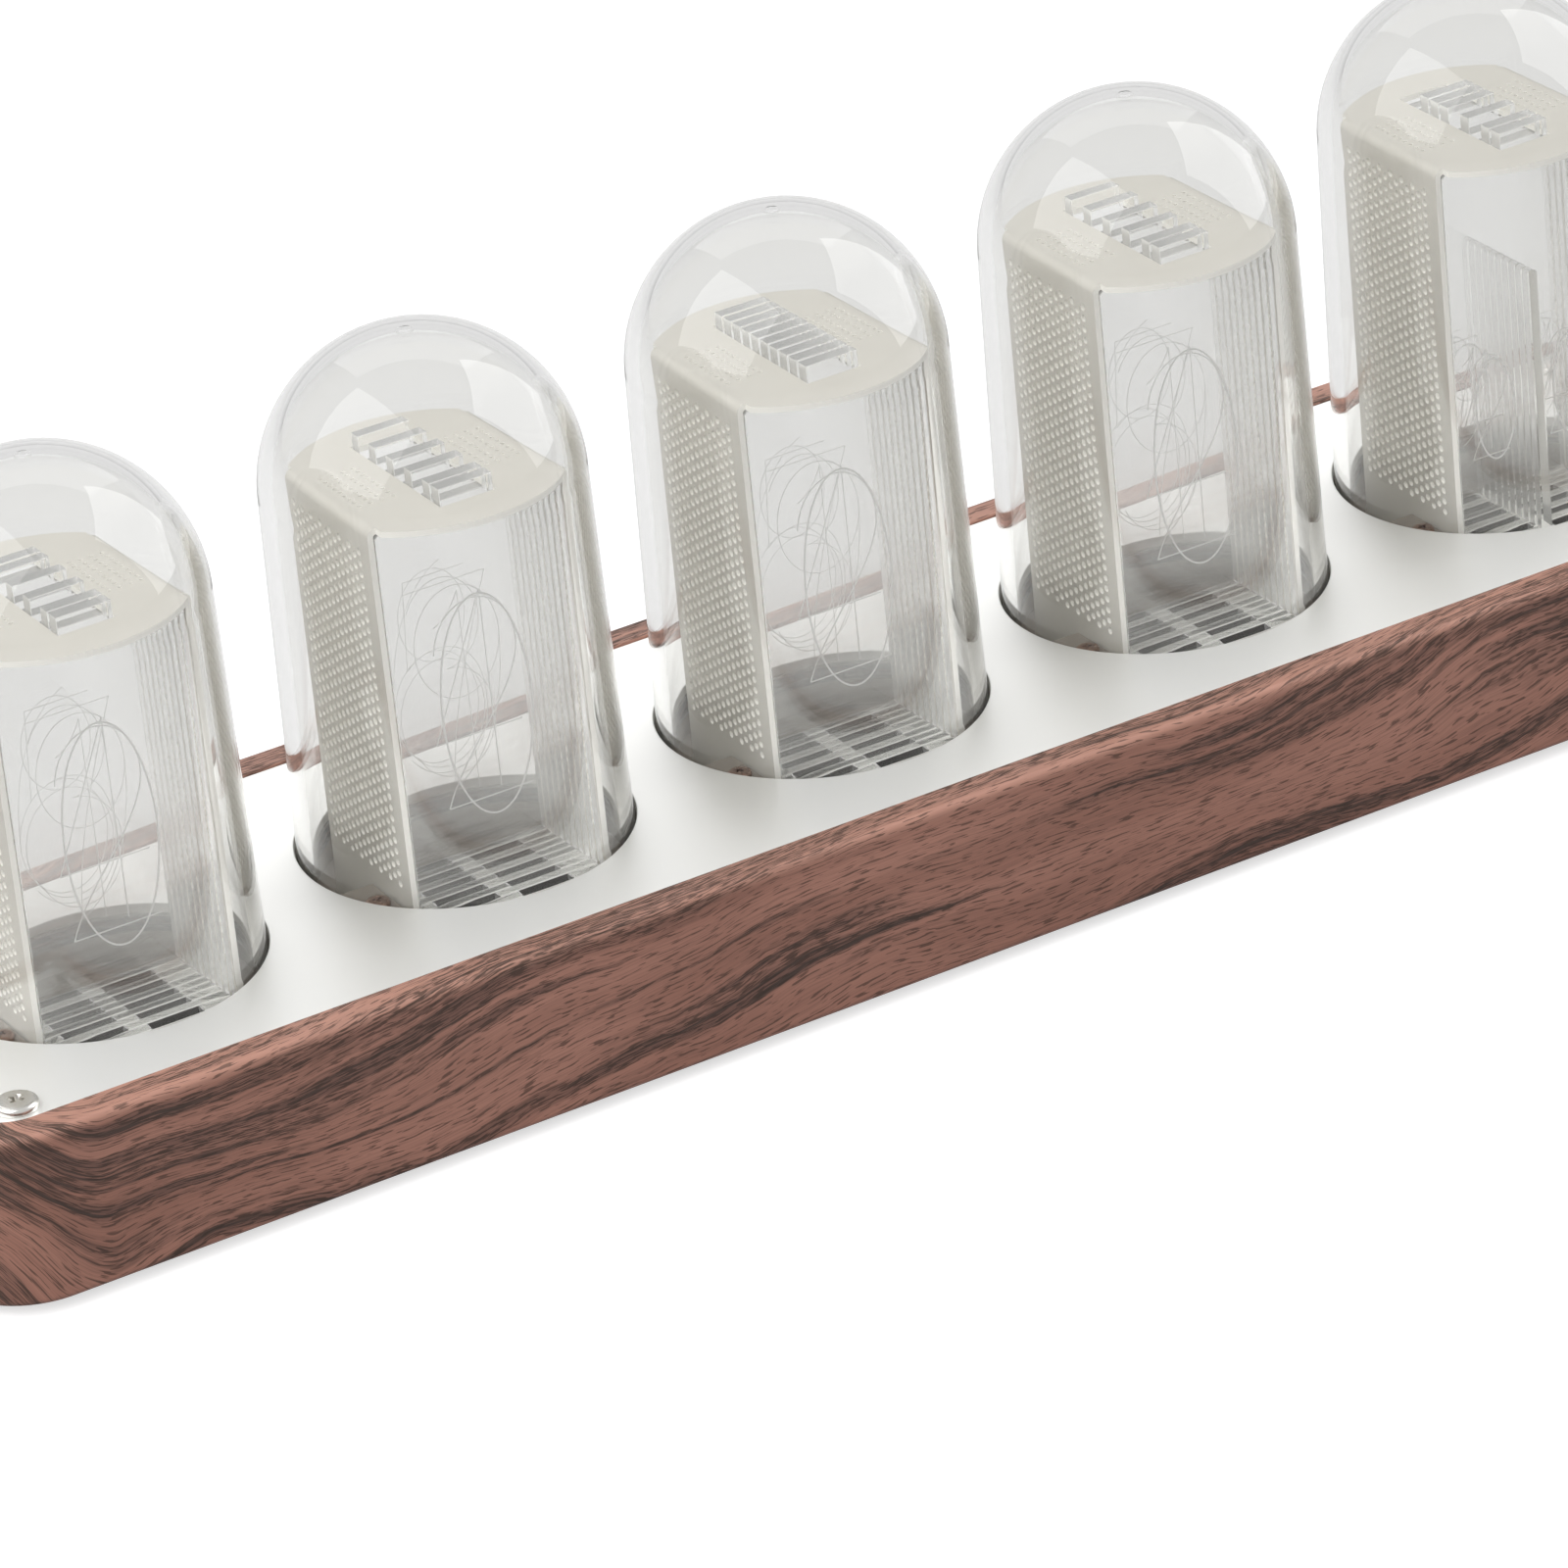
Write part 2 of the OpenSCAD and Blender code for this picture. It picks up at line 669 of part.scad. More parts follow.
// Small capacitors in a row under each tube.
module chip_capacitors() {
    color("#b59a72") for (i = [0 : tube_count - 1])
        for (k = [-2 : 2])
            translate([tube_x(i) + k * 4 - cap_l / 2, cap_row_y, pcb_z - cap_w])
                cube([cap_l, cap_w, cap_w]);
}

// A ring with two lugs, open below, and notched at the front to lift the cell out.
module coin_cell_holder() {
    lug_l = coin_d + 6;
    color("#333335") translate([0, coin_y, pcb_z - holder_h]) difference() {
        union() {
            cylinder(d = coin_d + 3, h = holder_h);
            translate([-lug_l / 2, -4, 0]) cube([lug_l, 8, holder_h]);
        }
        translate([0, 0, -1]) cylinder(d = coin_d + 0.4, h = holder_h);
        translate([-3, -coin_d / 2 - 4, -1]) cube([6, 8, holder_h]);
    }
}

module coin_cell() {
    can_h = 2.4;
    color("#cfd0d1") translate([0, coin_y, coin_z]) {
        cylinder(d = coin_d, h = can_h);
        translate([0, 0, can_h - eps]) cylinder(d = coin_d - 2.4, h = 0.8 + eps);
    }
}

module buzzer() {
    color("#262627") translate([tube_x(tube_count - 1), buzzer_y, pcb_z - buzzer_h]) difference() {
        cylinder(d = buzzer_d, h = buzzer_h);
        translate([0, 0, -1]) cylinder(d = 2, h = 3);
    }
}

// The flat cable from the rear board down and forward to its header on the main board.
module board_link() {
    header_w = 8;
    header_y = pcb_w / 2 - 3.5;
    ribbon_w = 7;
    ribbon_t = 0.6;
    ribbon_z = pcb_z - 2.6;
    plug_y = board_y - 1.5;
    plug_top = pcb_z - 4.4;
    color("#e8e8e6") translate([usb_x - 9, 0, 0]) {
        box(-header_w / 2, header_w / 2, header_y - 4, header_y, pcb_z - 3.2, pcb_z);
        box(-ribbon_w / 2, ribbon_w / 2, header_y - eps, plug_y + ribbon_t, ribbon_z, ribbon_z + ribbon_t);
        box(-ribbon_w / 2, ribbon_w / 2, plug_y, plug_y + ribbon_t, plug_top, ribbon_z + ribbon_t);
        box(-header_w / 2, header_w / 2, plug_y, board_y, plug_top - 2.2, plug_top + eps);
    }
}

// ---- rear panel ----

module panel_hole(x, d) {
    translate([x, panel_y + panel_t + 1, panel_mid_z])
        rotate([90, 0, 0]) cylinder(d = d, h = panel_t + 2);
}

// A stadium outline, as a socket's mouth has.
module stadium(w, h, y0, y1) {
    translate([0, y1, 0]) rotate([90, 0, 0]) linear_extrude(y1 - y0) {
        square([w - h, h], center = true);
        for (s = [-1, 1])
            translate([s * (w - h) / 2, 0]) circle(d = h, $fn = 32);
    }
}

module rear_panel() {
    color("#2b2b2d") difference() {
        union() {
            box(-panel_w / 2 + panel_fit, panel_w / 2 - panel_fit, panel_y, panel_y + panel_t,
                panel_mid_z - panel_h / 2 + panel_fit, panel_mid_z + panel_h / 2 - panel_fit);
            for (s = [-1, 1])
                translate([s * panel_post_x, panel_y + eps, panel_mid_z])
                    rotate([90, 0, 0]) cylinder(d = panel_post_d, h = panel_y - board_y - board_t + eps);
        }
        for (x = button_x)
            panel_hole(x, button_d + 2 * button_gap);
        for (s = [-1, 1]) {
            panel_hole(s * panel_screw_x, m2_hole_d);
            translate([s * panel_post_x, panel_y - 1, panel_mid_z]) rotate([90, 0, 0])
                cylinder(d = m2_d + 2 * thread_gap, h = 20);
        }
        translate([usb_x, 0, panel_mid_z])
            stadium(usb_w + 2 * panel_fit, usb_h + 2 * panel_fit, panel_y - 1, panel_y + panel_t + 1);
    }
}

module rear_panel_screws() {
    color("#8f9091") for (s = [-1, 1])
        translate([s * panel_screw_x, panel_y + panel_t, panel_mid_z]) rotate([-90, 0, 0])
            screw(m2_d, panel_t + 4, m2_head_d, m2_head_h - 0.2);
}

module rear_board() {
    color("#1f3d2c") difference() {
        box(-board_l / 2, board_l / 2, board_y, board_y + board_t,
            panel_mid_z - window_h / 2 + 0.3, panel_mid_z + window_h / 2 - 0.3);
        for (s = [-1, 1])
            translate([s * panel_post_x, board_y + board_t + 1, panel_mid_z])
                rotate([90, 0, 0]) cylinder(d = m2_hole_d, h = board_t + 2);
    }
}

module rear_board_screws() {
    color("#8f9091") for (s = [-1, 1])
        translate([s * panel_post_x, board_y, panel_mid_z]) rotate([90, 0, 0])
            screw(m2_d, board_t + 3, m2_head_d, m2_head_h);
}

// The power socket: a metal shell with its contact tongue inside.
module usb_c_port() {
    wall = 0.35;
    tongue_l = 6.6;
    tongue_t = 0.7;
    back_y = board_y + board_t;
    mouth_y = panel_y + panel_t - 0.1;
    color("#c9cacb") translate([usb_x, 0, panel_mid_z]) {
        difference() {
            stadium(usb_w, usb_h, back_y, mouth_y);
            stadium(usb_w - 2 * wall, usb_h - 2 * wall, back_y + 1.5, mouth_y + 1);
        }
        box(-tongue_l / 2, tongue_l / 2, back_y + 1, mouth_y - 0.9, -tongue_t / 2, tongue_t / 2);
    }
}

// The switches behind the buttons, each with a well for its plunger.
module tact_switches() {
    well = button_travel + 0.3;
    color("#3a3a3c") for (x = button_x)
        difference() {
            box(x - switch_a / 2, x + switch_a / 2, switch_y, switch_y + switch_t,
                panel_mid_z - switch_a / 2, panel_mid_z + switch_a / 2);
            translate([x, switch_y + switch_t + 1, panel_mid_z]) rotate([90, 0, 0])
                cylinder(d = plunger_d + 2 * button_gap, h = switch_y + switch_t + 1 - plunger_y + well);
        }
}

module push_button(x) {
    chamfer = 0.4;
    stem_h = panel_y + panel_t + button_out - chamfer - button_rear;
    color("#3a3a3c") translate([x, button_rear, panel_mid_z]) rotate([-90, 0, 0]) {
        cylinder(d = collar_d, h = collar_t);
        cylinder(d = button_d, h = stem_h);
        translate([0, 0, stem_h - eps])
            cylinder(d1 = button_d, d2 = button_d - 2 * chamfer, h = chamfer + eps);
    }
}

module switch_plunger(x) {
    color("#d9d3c4") translate([x, plunger_y, panel_mid_z]) rotate([-90, 0, 0])
        cylinder(d = plunger_d, h = plunger_l);
}

wood_frame();
top_plate();
top_plate_screws();
frame_inserts();
for (i = [0 : tube_count - 1]) {
    glass_dome(i);
    mesh_shroud(i);
    digit_plates(i);
    light_guide(i);
    tube_socket(i);
}
socket_screws();
dome_gaskets();
led_packages();
main_pcb();
pcb_screws();
pcb_standoffs();
microcontroller();
clock_chip();
clock_crystal();
voltage_regulator();
power_capacitors();
chip_capacitors();
coin_cell_holder();
coin_cell();
buzzer();
board_link();
base_cover();
base_screws();
rubber_feet();
rear_panel();
rear_panel_screws();
rear_board();
rear_board_screws();
usb_c_port();
tact_switches();
push_button(button_x[0]);  // mode_button
push_button(button_x[1]);  // up_button
push_button(button_x[2]);  // down_button
switch_plunger(button_x[0]);  // mode_plunger
switch_plunger(button_x[1]);  // up_plunger
switch_plunger(button_x[2]);  // down_plunger
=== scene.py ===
import math

import bmesh
import bpy
import numpy as np
from mathutils import Matrix, Vector


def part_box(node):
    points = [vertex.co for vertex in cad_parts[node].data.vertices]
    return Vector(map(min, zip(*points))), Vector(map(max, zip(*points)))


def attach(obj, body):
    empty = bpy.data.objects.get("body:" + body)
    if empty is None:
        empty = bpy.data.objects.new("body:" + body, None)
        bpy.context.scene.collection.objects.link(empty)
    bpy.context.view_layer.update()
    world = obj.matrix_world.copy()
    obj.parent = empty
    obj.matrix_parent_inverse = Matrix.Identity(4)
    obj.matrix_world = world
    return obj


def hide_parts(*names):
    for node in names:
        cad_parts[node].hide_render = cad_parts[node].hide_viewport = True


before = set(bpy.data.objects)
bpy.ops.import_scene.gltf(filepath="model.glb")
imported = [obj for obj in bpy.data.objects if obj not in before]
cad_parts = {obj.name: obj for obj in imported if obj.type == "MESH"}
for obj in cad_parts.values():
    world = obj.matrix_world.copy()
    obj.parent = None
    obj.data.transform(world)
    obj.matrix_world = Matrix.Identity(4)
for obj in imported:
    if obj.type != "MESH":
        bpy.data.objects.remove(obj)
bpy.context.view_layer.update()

scene = bpy.context.scene
scene.view_settings.view_transform = "Standard"
for setting, bounces in {"max_bounces": 48, "transmission_bounces": 44, "glossy_bounces": 12,
                         "diffuse_bounces": 4, "transparent_max_bounces": 96}.items():
    setattr(scene.cycles, setting, bounces)
scene.cycles.use_denoising = True
scene.cycles.sample_clamp_indirect = 6

# The camera that took the photo, from a fit to the case's edges, the holes and the domes. Its place is in metres,
# its turns in degrees, and its lens and sensor in millimetres.
photoCamera = {"place": (-0.5315, -0.9648, 0.5697), "azimuth": 28.53, "elevation": 26.79, "roll": -5.93,
               "lens": 210.2, "sensor": 36, "near": 0.05, "far": 40}


# The way to an azimuth (0 is behind the clock, 90 to its right) and an elevation, in radians
def lookTo(azimuth, elevation):
    level = math.cos(elevation)
    return Vector((math.sin(azimuth) * level, math.cos(azimuth) * level, math.sin(elevation)))


def makeCamera():
    azimuth, elevation, roll = (math.radians(photoCamera[k]) for k in ("azimuth", "elevation", "roll"))
    ahead = lookTo(azimuth, -elevation)
    levelRight = Vector((math.cos(azimuth), -math.sin(azimuth), 0))
    levelUp = levelRight.cross(ahead)
    right = levelRight * math.cos(roll) + levelUp * math.sin(roll)
    up = levelUp * math.cos(roll) - levelRight * math.sin(roll)
    camera = bpy.data.objects.new("photoCamera", bpy.data.cameras.new("photoCamera"))
    axes = Matrix((right, up, -ahead)).transposed().to_4x4()
    camera.matrix_world = Matrix.Translation(photoCamera["place"]) @ axes
    camera.data.lens, camera.data.sensor_width = photoCamera["lens"], photoCamera["sensor"]
    camera.data.clip_start, camera.data.clip_end = photoCamera["near"], photoCamera["far"]
    scene.collection.objects.link(camera)
    scene.camera = camera


# Lowest and highest corner of a CAD node, in millimetres
def nodeBox(name):
    low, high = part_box(name)
    return np.array(low) * 1000, np.array(high) * 1000


makeCamera()

# Places that the pieces share, in millimetres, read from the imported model
caseLow, caseHigh = nodeBox("wood_frame")
plateLow, plateHigh = nodeBox("top_plate")
plateTop, plateBottom = plateHigh[2], plateLow[2]
tubeNumbers = range(1, 6)
tubeCentres = [float(sum(corner[0] for corner in nodeBox(f"glass_dome_{i}")) / 2) for i in tubeNumbers]
print("camera and places ready", [round(x, 2) for x in tubeCentres])


# Corner numbers of the quads between the lines of a grid that is stored row by row
def gridFaces(rows, columns, closeRows=False, closeColumns=False):
    i, j = np.meshgrid(np.arange(rows if closeRows else rows - 1),
                       np.arange(columns if closeColumns else columns - 1), indexing="ij")
    below, beside = (i + 1) % rows, (j + 1) % columns
    corners = [i * columns + j, i * columns + beside, below * columns + beside, below * columns + j]
    return np.stack(corners, -1).reshape(-1, 4)


# Six times the volume is the sum over each face's fan of a . (b x c); where it is negative the faces look inwards
def facesOutwards(points, faceSets):
    volume = 0
    for faces in faceSets:
        for k in range(1, faces.shape[1] - 1):
            a, b, c = points[faces[:, 0]], points[faces[:, k]], points[faces[:, k + 1]]
            volume += np.einsum("ij,ij->", a, np.cross(b, c))
    return faceSets if volume >= 0 else [faces[:, ::-1] for faces in faceSets]


def objectFrom(name, mesh):
    piece = bpy.data.objects.new(name, mesh)
    scene.collection.objects.link(piece)
    return piece


# A piece from rows of points in millimetres and arrays with one face a row
def pieceFrom(name, points, faceSets, closed=True):
    points = np.asarray(points, float)
    faceSets = [np.asarray(faces) for faces in faceSets if len(faces)]
    if closed:
        faceSets = facesOutwards(points, faceSets)
    mesh = bpy.data.meshes.new(name)
    loops = np.concatenate([faces.ravel() for faces in faceSets])
    sizes = np.concatenate([np.full(len(faces), faces.shape[1]) for faces in faceSets])
    mesh.vertices.add(len(points))
    mesh.vertices.foreach_set("co", (points / 1000).ravel())
    mesh.loops.add(len(loops))
    mesh.loops.foreach_set("vertex_index", loops.astype(np.int32))
    mesh.polygons.add(len(sizes))
    mesh.polygons.foreach_set("loop_start", np.concatenate([[0], np.cumsum(sizes)[:-1]]).astype(np.int32))
    mesh.update(calc_edges=True)
    mesh.validate()
    mesh.shade_flat()
    return objectFrom(name, mesh)


# Turns an object's modifiers or curve into plain mesh, so that its place is in its mesh
def settle(piece):
    bpy.context.view_layer.update()
    graph = bpy.context.evaluated_depsgraph_get()
    mesh = bpy.data.meshes.new_from_object(piece.evaluated_get(graph), preserve_all_data_layers=True,
                                           depsgraph=graph)
    name = piece.name
    bpy.data.objects.remove(piece)
    mesh.name = name
    return objectFrom(name, mesh)


# Smooth shading that breaks at edges sharper than the angle, with big faces kept flat where it is weighted
def smooth(piece, angle, weighted=False):
    piece.data.shade_smooth()
    piece.data.set_sharp_from_angle(angle=math.radians(angle))
    if weighted:
        piece.modifiers.new("weighted", "WEIGHTED_NORMAL").keep_sharp = True
        piece = settle(piece)
    return piece


# Turns the faces outwards, or upwards on an open sheet; points closer than joinWithin metres become one first
def orderFaces(piece, joinWithin=0.0, upwards=False):
    shell = bmesh.new()
    shell.from_mesh(piece.data)
    if joinWithin:
        bmesh.ops.remove_doubles(shell, verts=shell.verts, dist=joinWithin)
    bmesh.ops.recalc_face_normals(shell, faces=shell.faces)
    if upwards and sum(face.normal.z * face.calc_area() for face in shell.faces) < 0:
        bmesh.ops.reverse_faces(shell, faces=shell.faces)
    shell.to_mesh(piece.data)
    shell.free()


# The normals and the centres in millimetres of a piece's faces
def faceData(piece):
    faces = piece.data.polygons
    normals, centres = np.empty(len(faces) * 3), np.empty(len(faces) * 3)
    faces.foreach_get("normal", normals)
    faces.foreach_get("center", centres)
    return normals.reshape(-1, 3), centres.reshape(-1, 3) * 1000


# Gives a finished piece its materials and its body, and hides the CAD nodes it stands for
def finishPiece(piece, materials, replaced=(), body="clock"):
    for material in materials if isinstance(materials, (list, tuple)) else [materials]:
        piece.data.materials.append(material)
    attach(piece, body)
    if replaced:
        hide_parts(*replaced)
    return piece


# A profile of radius and height turned round an upright axis; an end that lies on the axis closes in a fan
def turned(profile, centre=(0, 0), segments=96):
    profile = np.asarray(profile, float)
    onAxis = profile[:, 0] < 1e-7
    rings = profile[~onAxis]
    turn = 2 * np.pi * np.arange(segments) / segments
    points = np.stack([centre[0] + rings[:, :1] * np.cos(turn), centre[1] + rings[:, :1] * np.sin(turn),
                       rings[:, 1:] + 0 * turn], -1).reshape(-1, 3)
    faceSets = [gridFaces(len(rings), segments, closeColumns=True)]
    around = np.arange(segments)
    for end, row in ((0, 0), (-1, len(rings) - 1)):
        if onAxis[end]:
            pole = len(points)
            points = np.vstack([points, [centre[0], centre[1], profile[end, 1]]])
            here, after = row * segments + around, row * segments + (around + 1) % segments
            fan = np.stack([here, np.full(segments, pole), after], -1)
            faceSets.append(fan if end == 0 else fan[:, ::-1])
    return points, faceSets


# Corners of a closed line rounded off: each corner gives way to the arc that touches both of its sides, whose
# centre lies radius / sin(half the angle) along the bisector
def roundCorners(corners, radii, steps=6):
    corners = np.asarray(corners, float)
    line = []
    for k, corner in enumerate(corners):
        radius = radii[k] if hasattr(radii, "__len__") else radii
        toLast, toNext = corners[k - 1] - corner, corners[(k + 1) % len(corners)] - corner
        toLast, toNext = toLast / np.linalg.norm(toLast), toNext / np.linalg.norm(toNext)
        half = math.acos(float(np.clip(toLast @ toNext, -1, 1))) / 2
        if radius < 1e-6 or half > math.pi / 2 - 1e-3:
            line.append(corner[None])
            continue
        centre = corner + (toLast + toNext) / np.linalg.norm(toLast + toNext) * radius / math.sin(half)
        first, last = (corner + side * radius / math.tan(half) - centre for side in (toLast, toNext))
        sweep = math.pi - 2 * half
        share = np.linspace(0, 1, steps + 1)[:, None]
        line.append(centre + (first * np.sin((1 - share) * sweep) + last * np.sin(share * sweep)) / math.sin(sweep))
    return np.vstack(line)


def circleLine(x, y, radius, steps=64):
    turn = 2 * np.pi * np.arange(steps) / steps
    return np.stack([x + radius * np.cos(turn), y + radius * np.sin(turn)], -1)


def rectangleLine(x0, x1, y0, y1, radius, steps):
    return roundCorners([[x0, y0], [x1, y0], [x1, y1], [x0, y1]], radius, steps)


# A flat plate between two heights from its outline and holes, with its edges rounded by the bevel
def flatPlate(name, outline, holes, low, high, bevel, bevelSteps=2):
    curve = bpy.data.curves.new(name, "CURVE")
    curve.dimensions, curve.fill_mode = "2D", "BOTH"
    curve.extrude = ((high - low) / 2 - bevel) / 1000
    curve.bevel_depth, curve.offset, curve.bevel_resolution = bevel / 1000, -bevel / 1000, bevelSteps
    for line in [outline, *holes]:
        spline = curve.splines.new("POLY")
        spline.points.add(len(line) - 1)
        flat = np.hstack([line / 1000, np.zeros((len(line), 1)), np.ones((len(line), 1))])
        spline.points.foreach_set("co", flat.ravel())
        spline.use_cyclic_u = True
    piece = settle(objectFrom(name, curve))
    orderFaces(piece, joinWithin=2e-7)
    piece.data.transform(Matrix.Translation((0, 0, (low + high) / 2000)))
    return piece


# Prisms side by side along Y: each outline in X and Z is drawn in by the chamfer at both faces
def prismStack(outlines, centres, depth, chamfer):
    points, faceSets, start = [], [], 0
    for outline, middle in zip(outlines, centres):
        n = len(outline)
        ahead, behind = np.roll(outline, -1, 0) - outline, outline - np.roll(outline, 1, 0)
        normals = [np.stack([v[:, 1], -v[:, 0]], -1) / np.linalg.norm(v, axis=1, keepdims=True)
                   for v in (ahead, behind)]
        miter = normals[0] + normals[1]
        miter /= np.maximum((miter * normals[0]).sum(1, keepdims=True), 0.5)
        inner = outline - miter * chamfer
        rows = [(inner, -depth / 2), (outline, chamfer - depth / 2),
                (outline, depth / 2 - chamfer), (inner, depth / 2)]
        points += [np.stack([line[:, 0], np.full(n, middle + y), line[:, 1]], -1) for line, y in rows]
        ring = np.arange(n)[None]
        faceSets += [start + gridFaces(4, n, closeColumns=True), start + ring[:, ::-1], start + 3 * n + ring]
        start += 4 * n
    return np.vstack(points), faceSets


# Copies of one set of points and faces at many places, in one mesh
def repeated(points, faceSets, places):
    places = np.atleast_2d(places)
    copies = (points[None] + places[:, None]).reshape(-1, 3)
    shift = (np.arange(len(places)) * len(points))[:, None, None]
    return copies, [(faces[None] + shift).reshape(-1, faces.shape[1]) for faces in faceSets]


# Cuts a piece with closed shapes; the cut faces keep the piece's own map
def cutWith(piece, cutters):
    for points, faceSets in cutters:
        cutter = pieceFrom("cutter", points, faceSets)
        modifier = piece.modifiers.new("cut", "BOOLEAN")
        modifier.object, modifier.operation, modifier.solver = cutter, "DIFFERENCE", "EXACT"
        piece = settle(piece)
        bpy.data.objects.remove(cutter)
    return piece


def blockFaces(low, high):
    corners = np.array([[x, y, z] for z in (low[2], high[2]) for y in (low[1], high[1])
                        for x in (low[0], high[0])], float)
    faces = np.array([[0, 2, 3, 1], [4, 5, 7, 6], [0, 1, 5, 4], [2, 6, 7, 3], [0, 4, 6, 2], [1, 3, 7, 5]])
    return corners, [faces]


# A shader node with its settings; an input that is given a socket is linked to it
def put(tree, kind, inputs=None, **settings):
    node = tree.nodes.new("ShaderNode" + kind)
    for key, value in settings.items():
        setattr(node, key, value)
    for key, value in (inputs or {}).items():
        if isinstance(value, bpy.types.NodeSocket):
            tree.links.new(value, node.inputs[key])
        else:
            node.inputs[key].default_value = value
    return node


# Fine grain and broad patches, both 0 to 1, that every plain surface uses
def makeSurfaceDetail():
    group = bpy.data.node_groups.new("surfaceDetail", "ShaderNodeTree")
    group.interface.new_socket("Vector", in_out="INPUT", socket_type="NodeSocketVector")
    source, result = group.nodes.new("NodeGroupInput"), group.nodes.new("NodeGroupOutput")
    for key, detail, roughness in (("Grain", 3.0, 0.6), ("Patch", 4.0, 0.55)):
        group.interface.new_socket(f"{key} scale", in_out="INPUT", socket_type="NodeSocketFloat")
        group.interface.new_socket(key, in_out="OUTPUT", socket_type="NodeSocketFloat")
        noise = put(group, "TexNoise", {"Vector": source.outputs["Vector"], "Detail": detail,
                                        "Scale": source.outputs[f"{key} scale"], "Roughness": roughness})
        group.links.new(noise.outputs["Fac"], result.inputs[key])
    return group


surfaceDetail = makeSurfaceDetail()


def newMaterial(name):
    material = bpy.data.materials.new(name)
    material.use_nodes = True
    material.node_tree.nodes.clear()
    return material, material.node_tree


# A colour written as in a paint program, turned into the linear numbers that nodes take
def paint(code, alpha=1.0):
    shares = [int(code[k:k + 2], 16) / 255 for k in (1, 3, 5)]
    return tuple(c / 12.92 if c <= 0.04045 else ((c + 0.055) / 1.055) ** 2.4 for c in shares) + (alpha,)


# A mix of two colours, each a socket or a fixed colour
def blend(tree, factor, first, second):
    return put(tree, "Mix", {"Factor": factor, 6: first, 7: second}, data_type="RGBA").outputs[2]


# The broad patches of a surface, and its normal with a fine grain of the given height in millimetres
def patchesAndNormal(tree, grainScale, grainHeight, strength, patchScale=60.0):
    place = put(tree, "TexCoord")
    detail = put(tree, "Group", {"Vector": place.outputs["Object"], "Grain scale": grainScale,
                                 "Patch scale": patchScale}, node_tree=surfaceDetail)
    bump = put(tree, "Bump", {"Height": detail.outputs["Grain"], "Strength": strength,
                              "Distance": grainHeight / 1000})
    return detail.outputs["Patch"], bump.outputs[0]


# A plain finish: two close tones in broad patches, roughness that follows them and a fine grain in the normal
def plainFinish(name, tones, roughness, metallic, grainScale, grainHeight, patchScale, coat=0.0):
    material, tree = newMaterial(name)
    patches, normal = patchesAndNormal(tree, grainScale, grainHeight, 0.35, patchScale)
    colour = blend(tree, patches, paint(tones[0]), paint(tones[1]))
    rough = put(tree, "MapRange", {"Value": patches, "From Min": 0.3, "From Max": 0.7,
                                   "To Min": roughness[0], "To Max": roughness[1]})
    shader = put(tree, "BsdfPrincipled", {"Base Color": colour, "Roughness": rough.outputs[0],
                                          "Normal": normal, "Metallic": metallic, "Coat Weight": coat})
    put(tree, "OutputMaterial", {"Surface": shader.outputs[0]})
    return material


# Clear material; lamps and soft light pass straight through it, so what stands inside is lit
def clearFinish(name, colour, shadow, roughness, ior, clear=1.0, grainScale=0.0):
    material, tree = newMaterial(name)
    shader = put(tree, "BsdfPrincipled", {"Base Color": paint(colour), "Roughness": roughness, "IOR": ior,
                                          "Transmission Weight": clear})
    if grainScale:
        tree.links.new(patchesAndNormal(tree, grainScale, 0.01, 0.2)[1], shader.inputs["Normal"])
    path = put(tree, "LightPath")
    through = put(tree, "BsdfTransparent", {"Color": paint(shadow)})
    surface = shader.outputs[0]
    for ray in ("Is Diffuse Ray", "Is Shadow Ray"):
        mix = put(tree, "MixShader", {0: path.outputs[ray], 1: surface, 2: through.outputs[0]})
        surface = mix.outputs[0]
    put(tree, "OutputMaterial", {"Surface": surface})
    return material


# Open-pored veneer on the case's own map, in centimetres along and across the grain. The way across is first bent
# by a slow wave and drifts upwards along the case. Bands are long stretched noise; inside them run thin parallel
# lines, and short pores lie everywhere, close together in the bands and rare between them. A lighter tone along
# the rounded top edge of the outer face is a painted highlight.
woodLook = {"light": "#9f7263", "middle": "#895f51", "band": "#513831", "line": "#2e211a", "rimHighlightTone": "#c49583",
            "wave": 2.4, "ripple": 0.16, "drift": -0.09, "corner": (21.1, 23.3), "cornerRise": 1.8,
            "denser": (1.2, 2.0), "denserBy": (-0.035, 0.045), "rim": (2.3, 2.42), "rimHighlightShare": 0.45,
            "bandShare": 0.78, "lineShare": 0.9, "poreShare": 0.8, "rarePoreShare": 0.85, "fibreShare": 0.42,
            "roughness": (0.46, 0.68), "poreDepth": 0.00005, "bumpStrength": 0.35, "shine": 0.4}
# Each noise: its scale along and across the grain and its plane, its detail, its roughness, and its lean in degrees
woodNoises = {"wave": ((0.13, 0.25, 1), 1.5, 0.4), "ripple": ((0.9, 1.2, 1), 2.0, 0.5),
              "bands": ((0.07, 1.7, 1), 3.0, 0.62), "fineBands": ((0.1, 5.5, 2), 2.0, 0.5),
              "lines": ((0.22, 13.0, 1), 3.0, 0.62), "breaks": ((1.1, 12.0, 5), 2.0, 0.5),
              "pores": ((3.4, 36.0, 1), 1.5, 0.5, 5), "rarePores": ((2.8, 30.0, 3), 1.5, 0.5, 5),
              "tones": ((0.12, 0.9, 1), 2.0, 0.5), "fibres": ((0.8, 42.0, 7), 3.0, 0.6)}


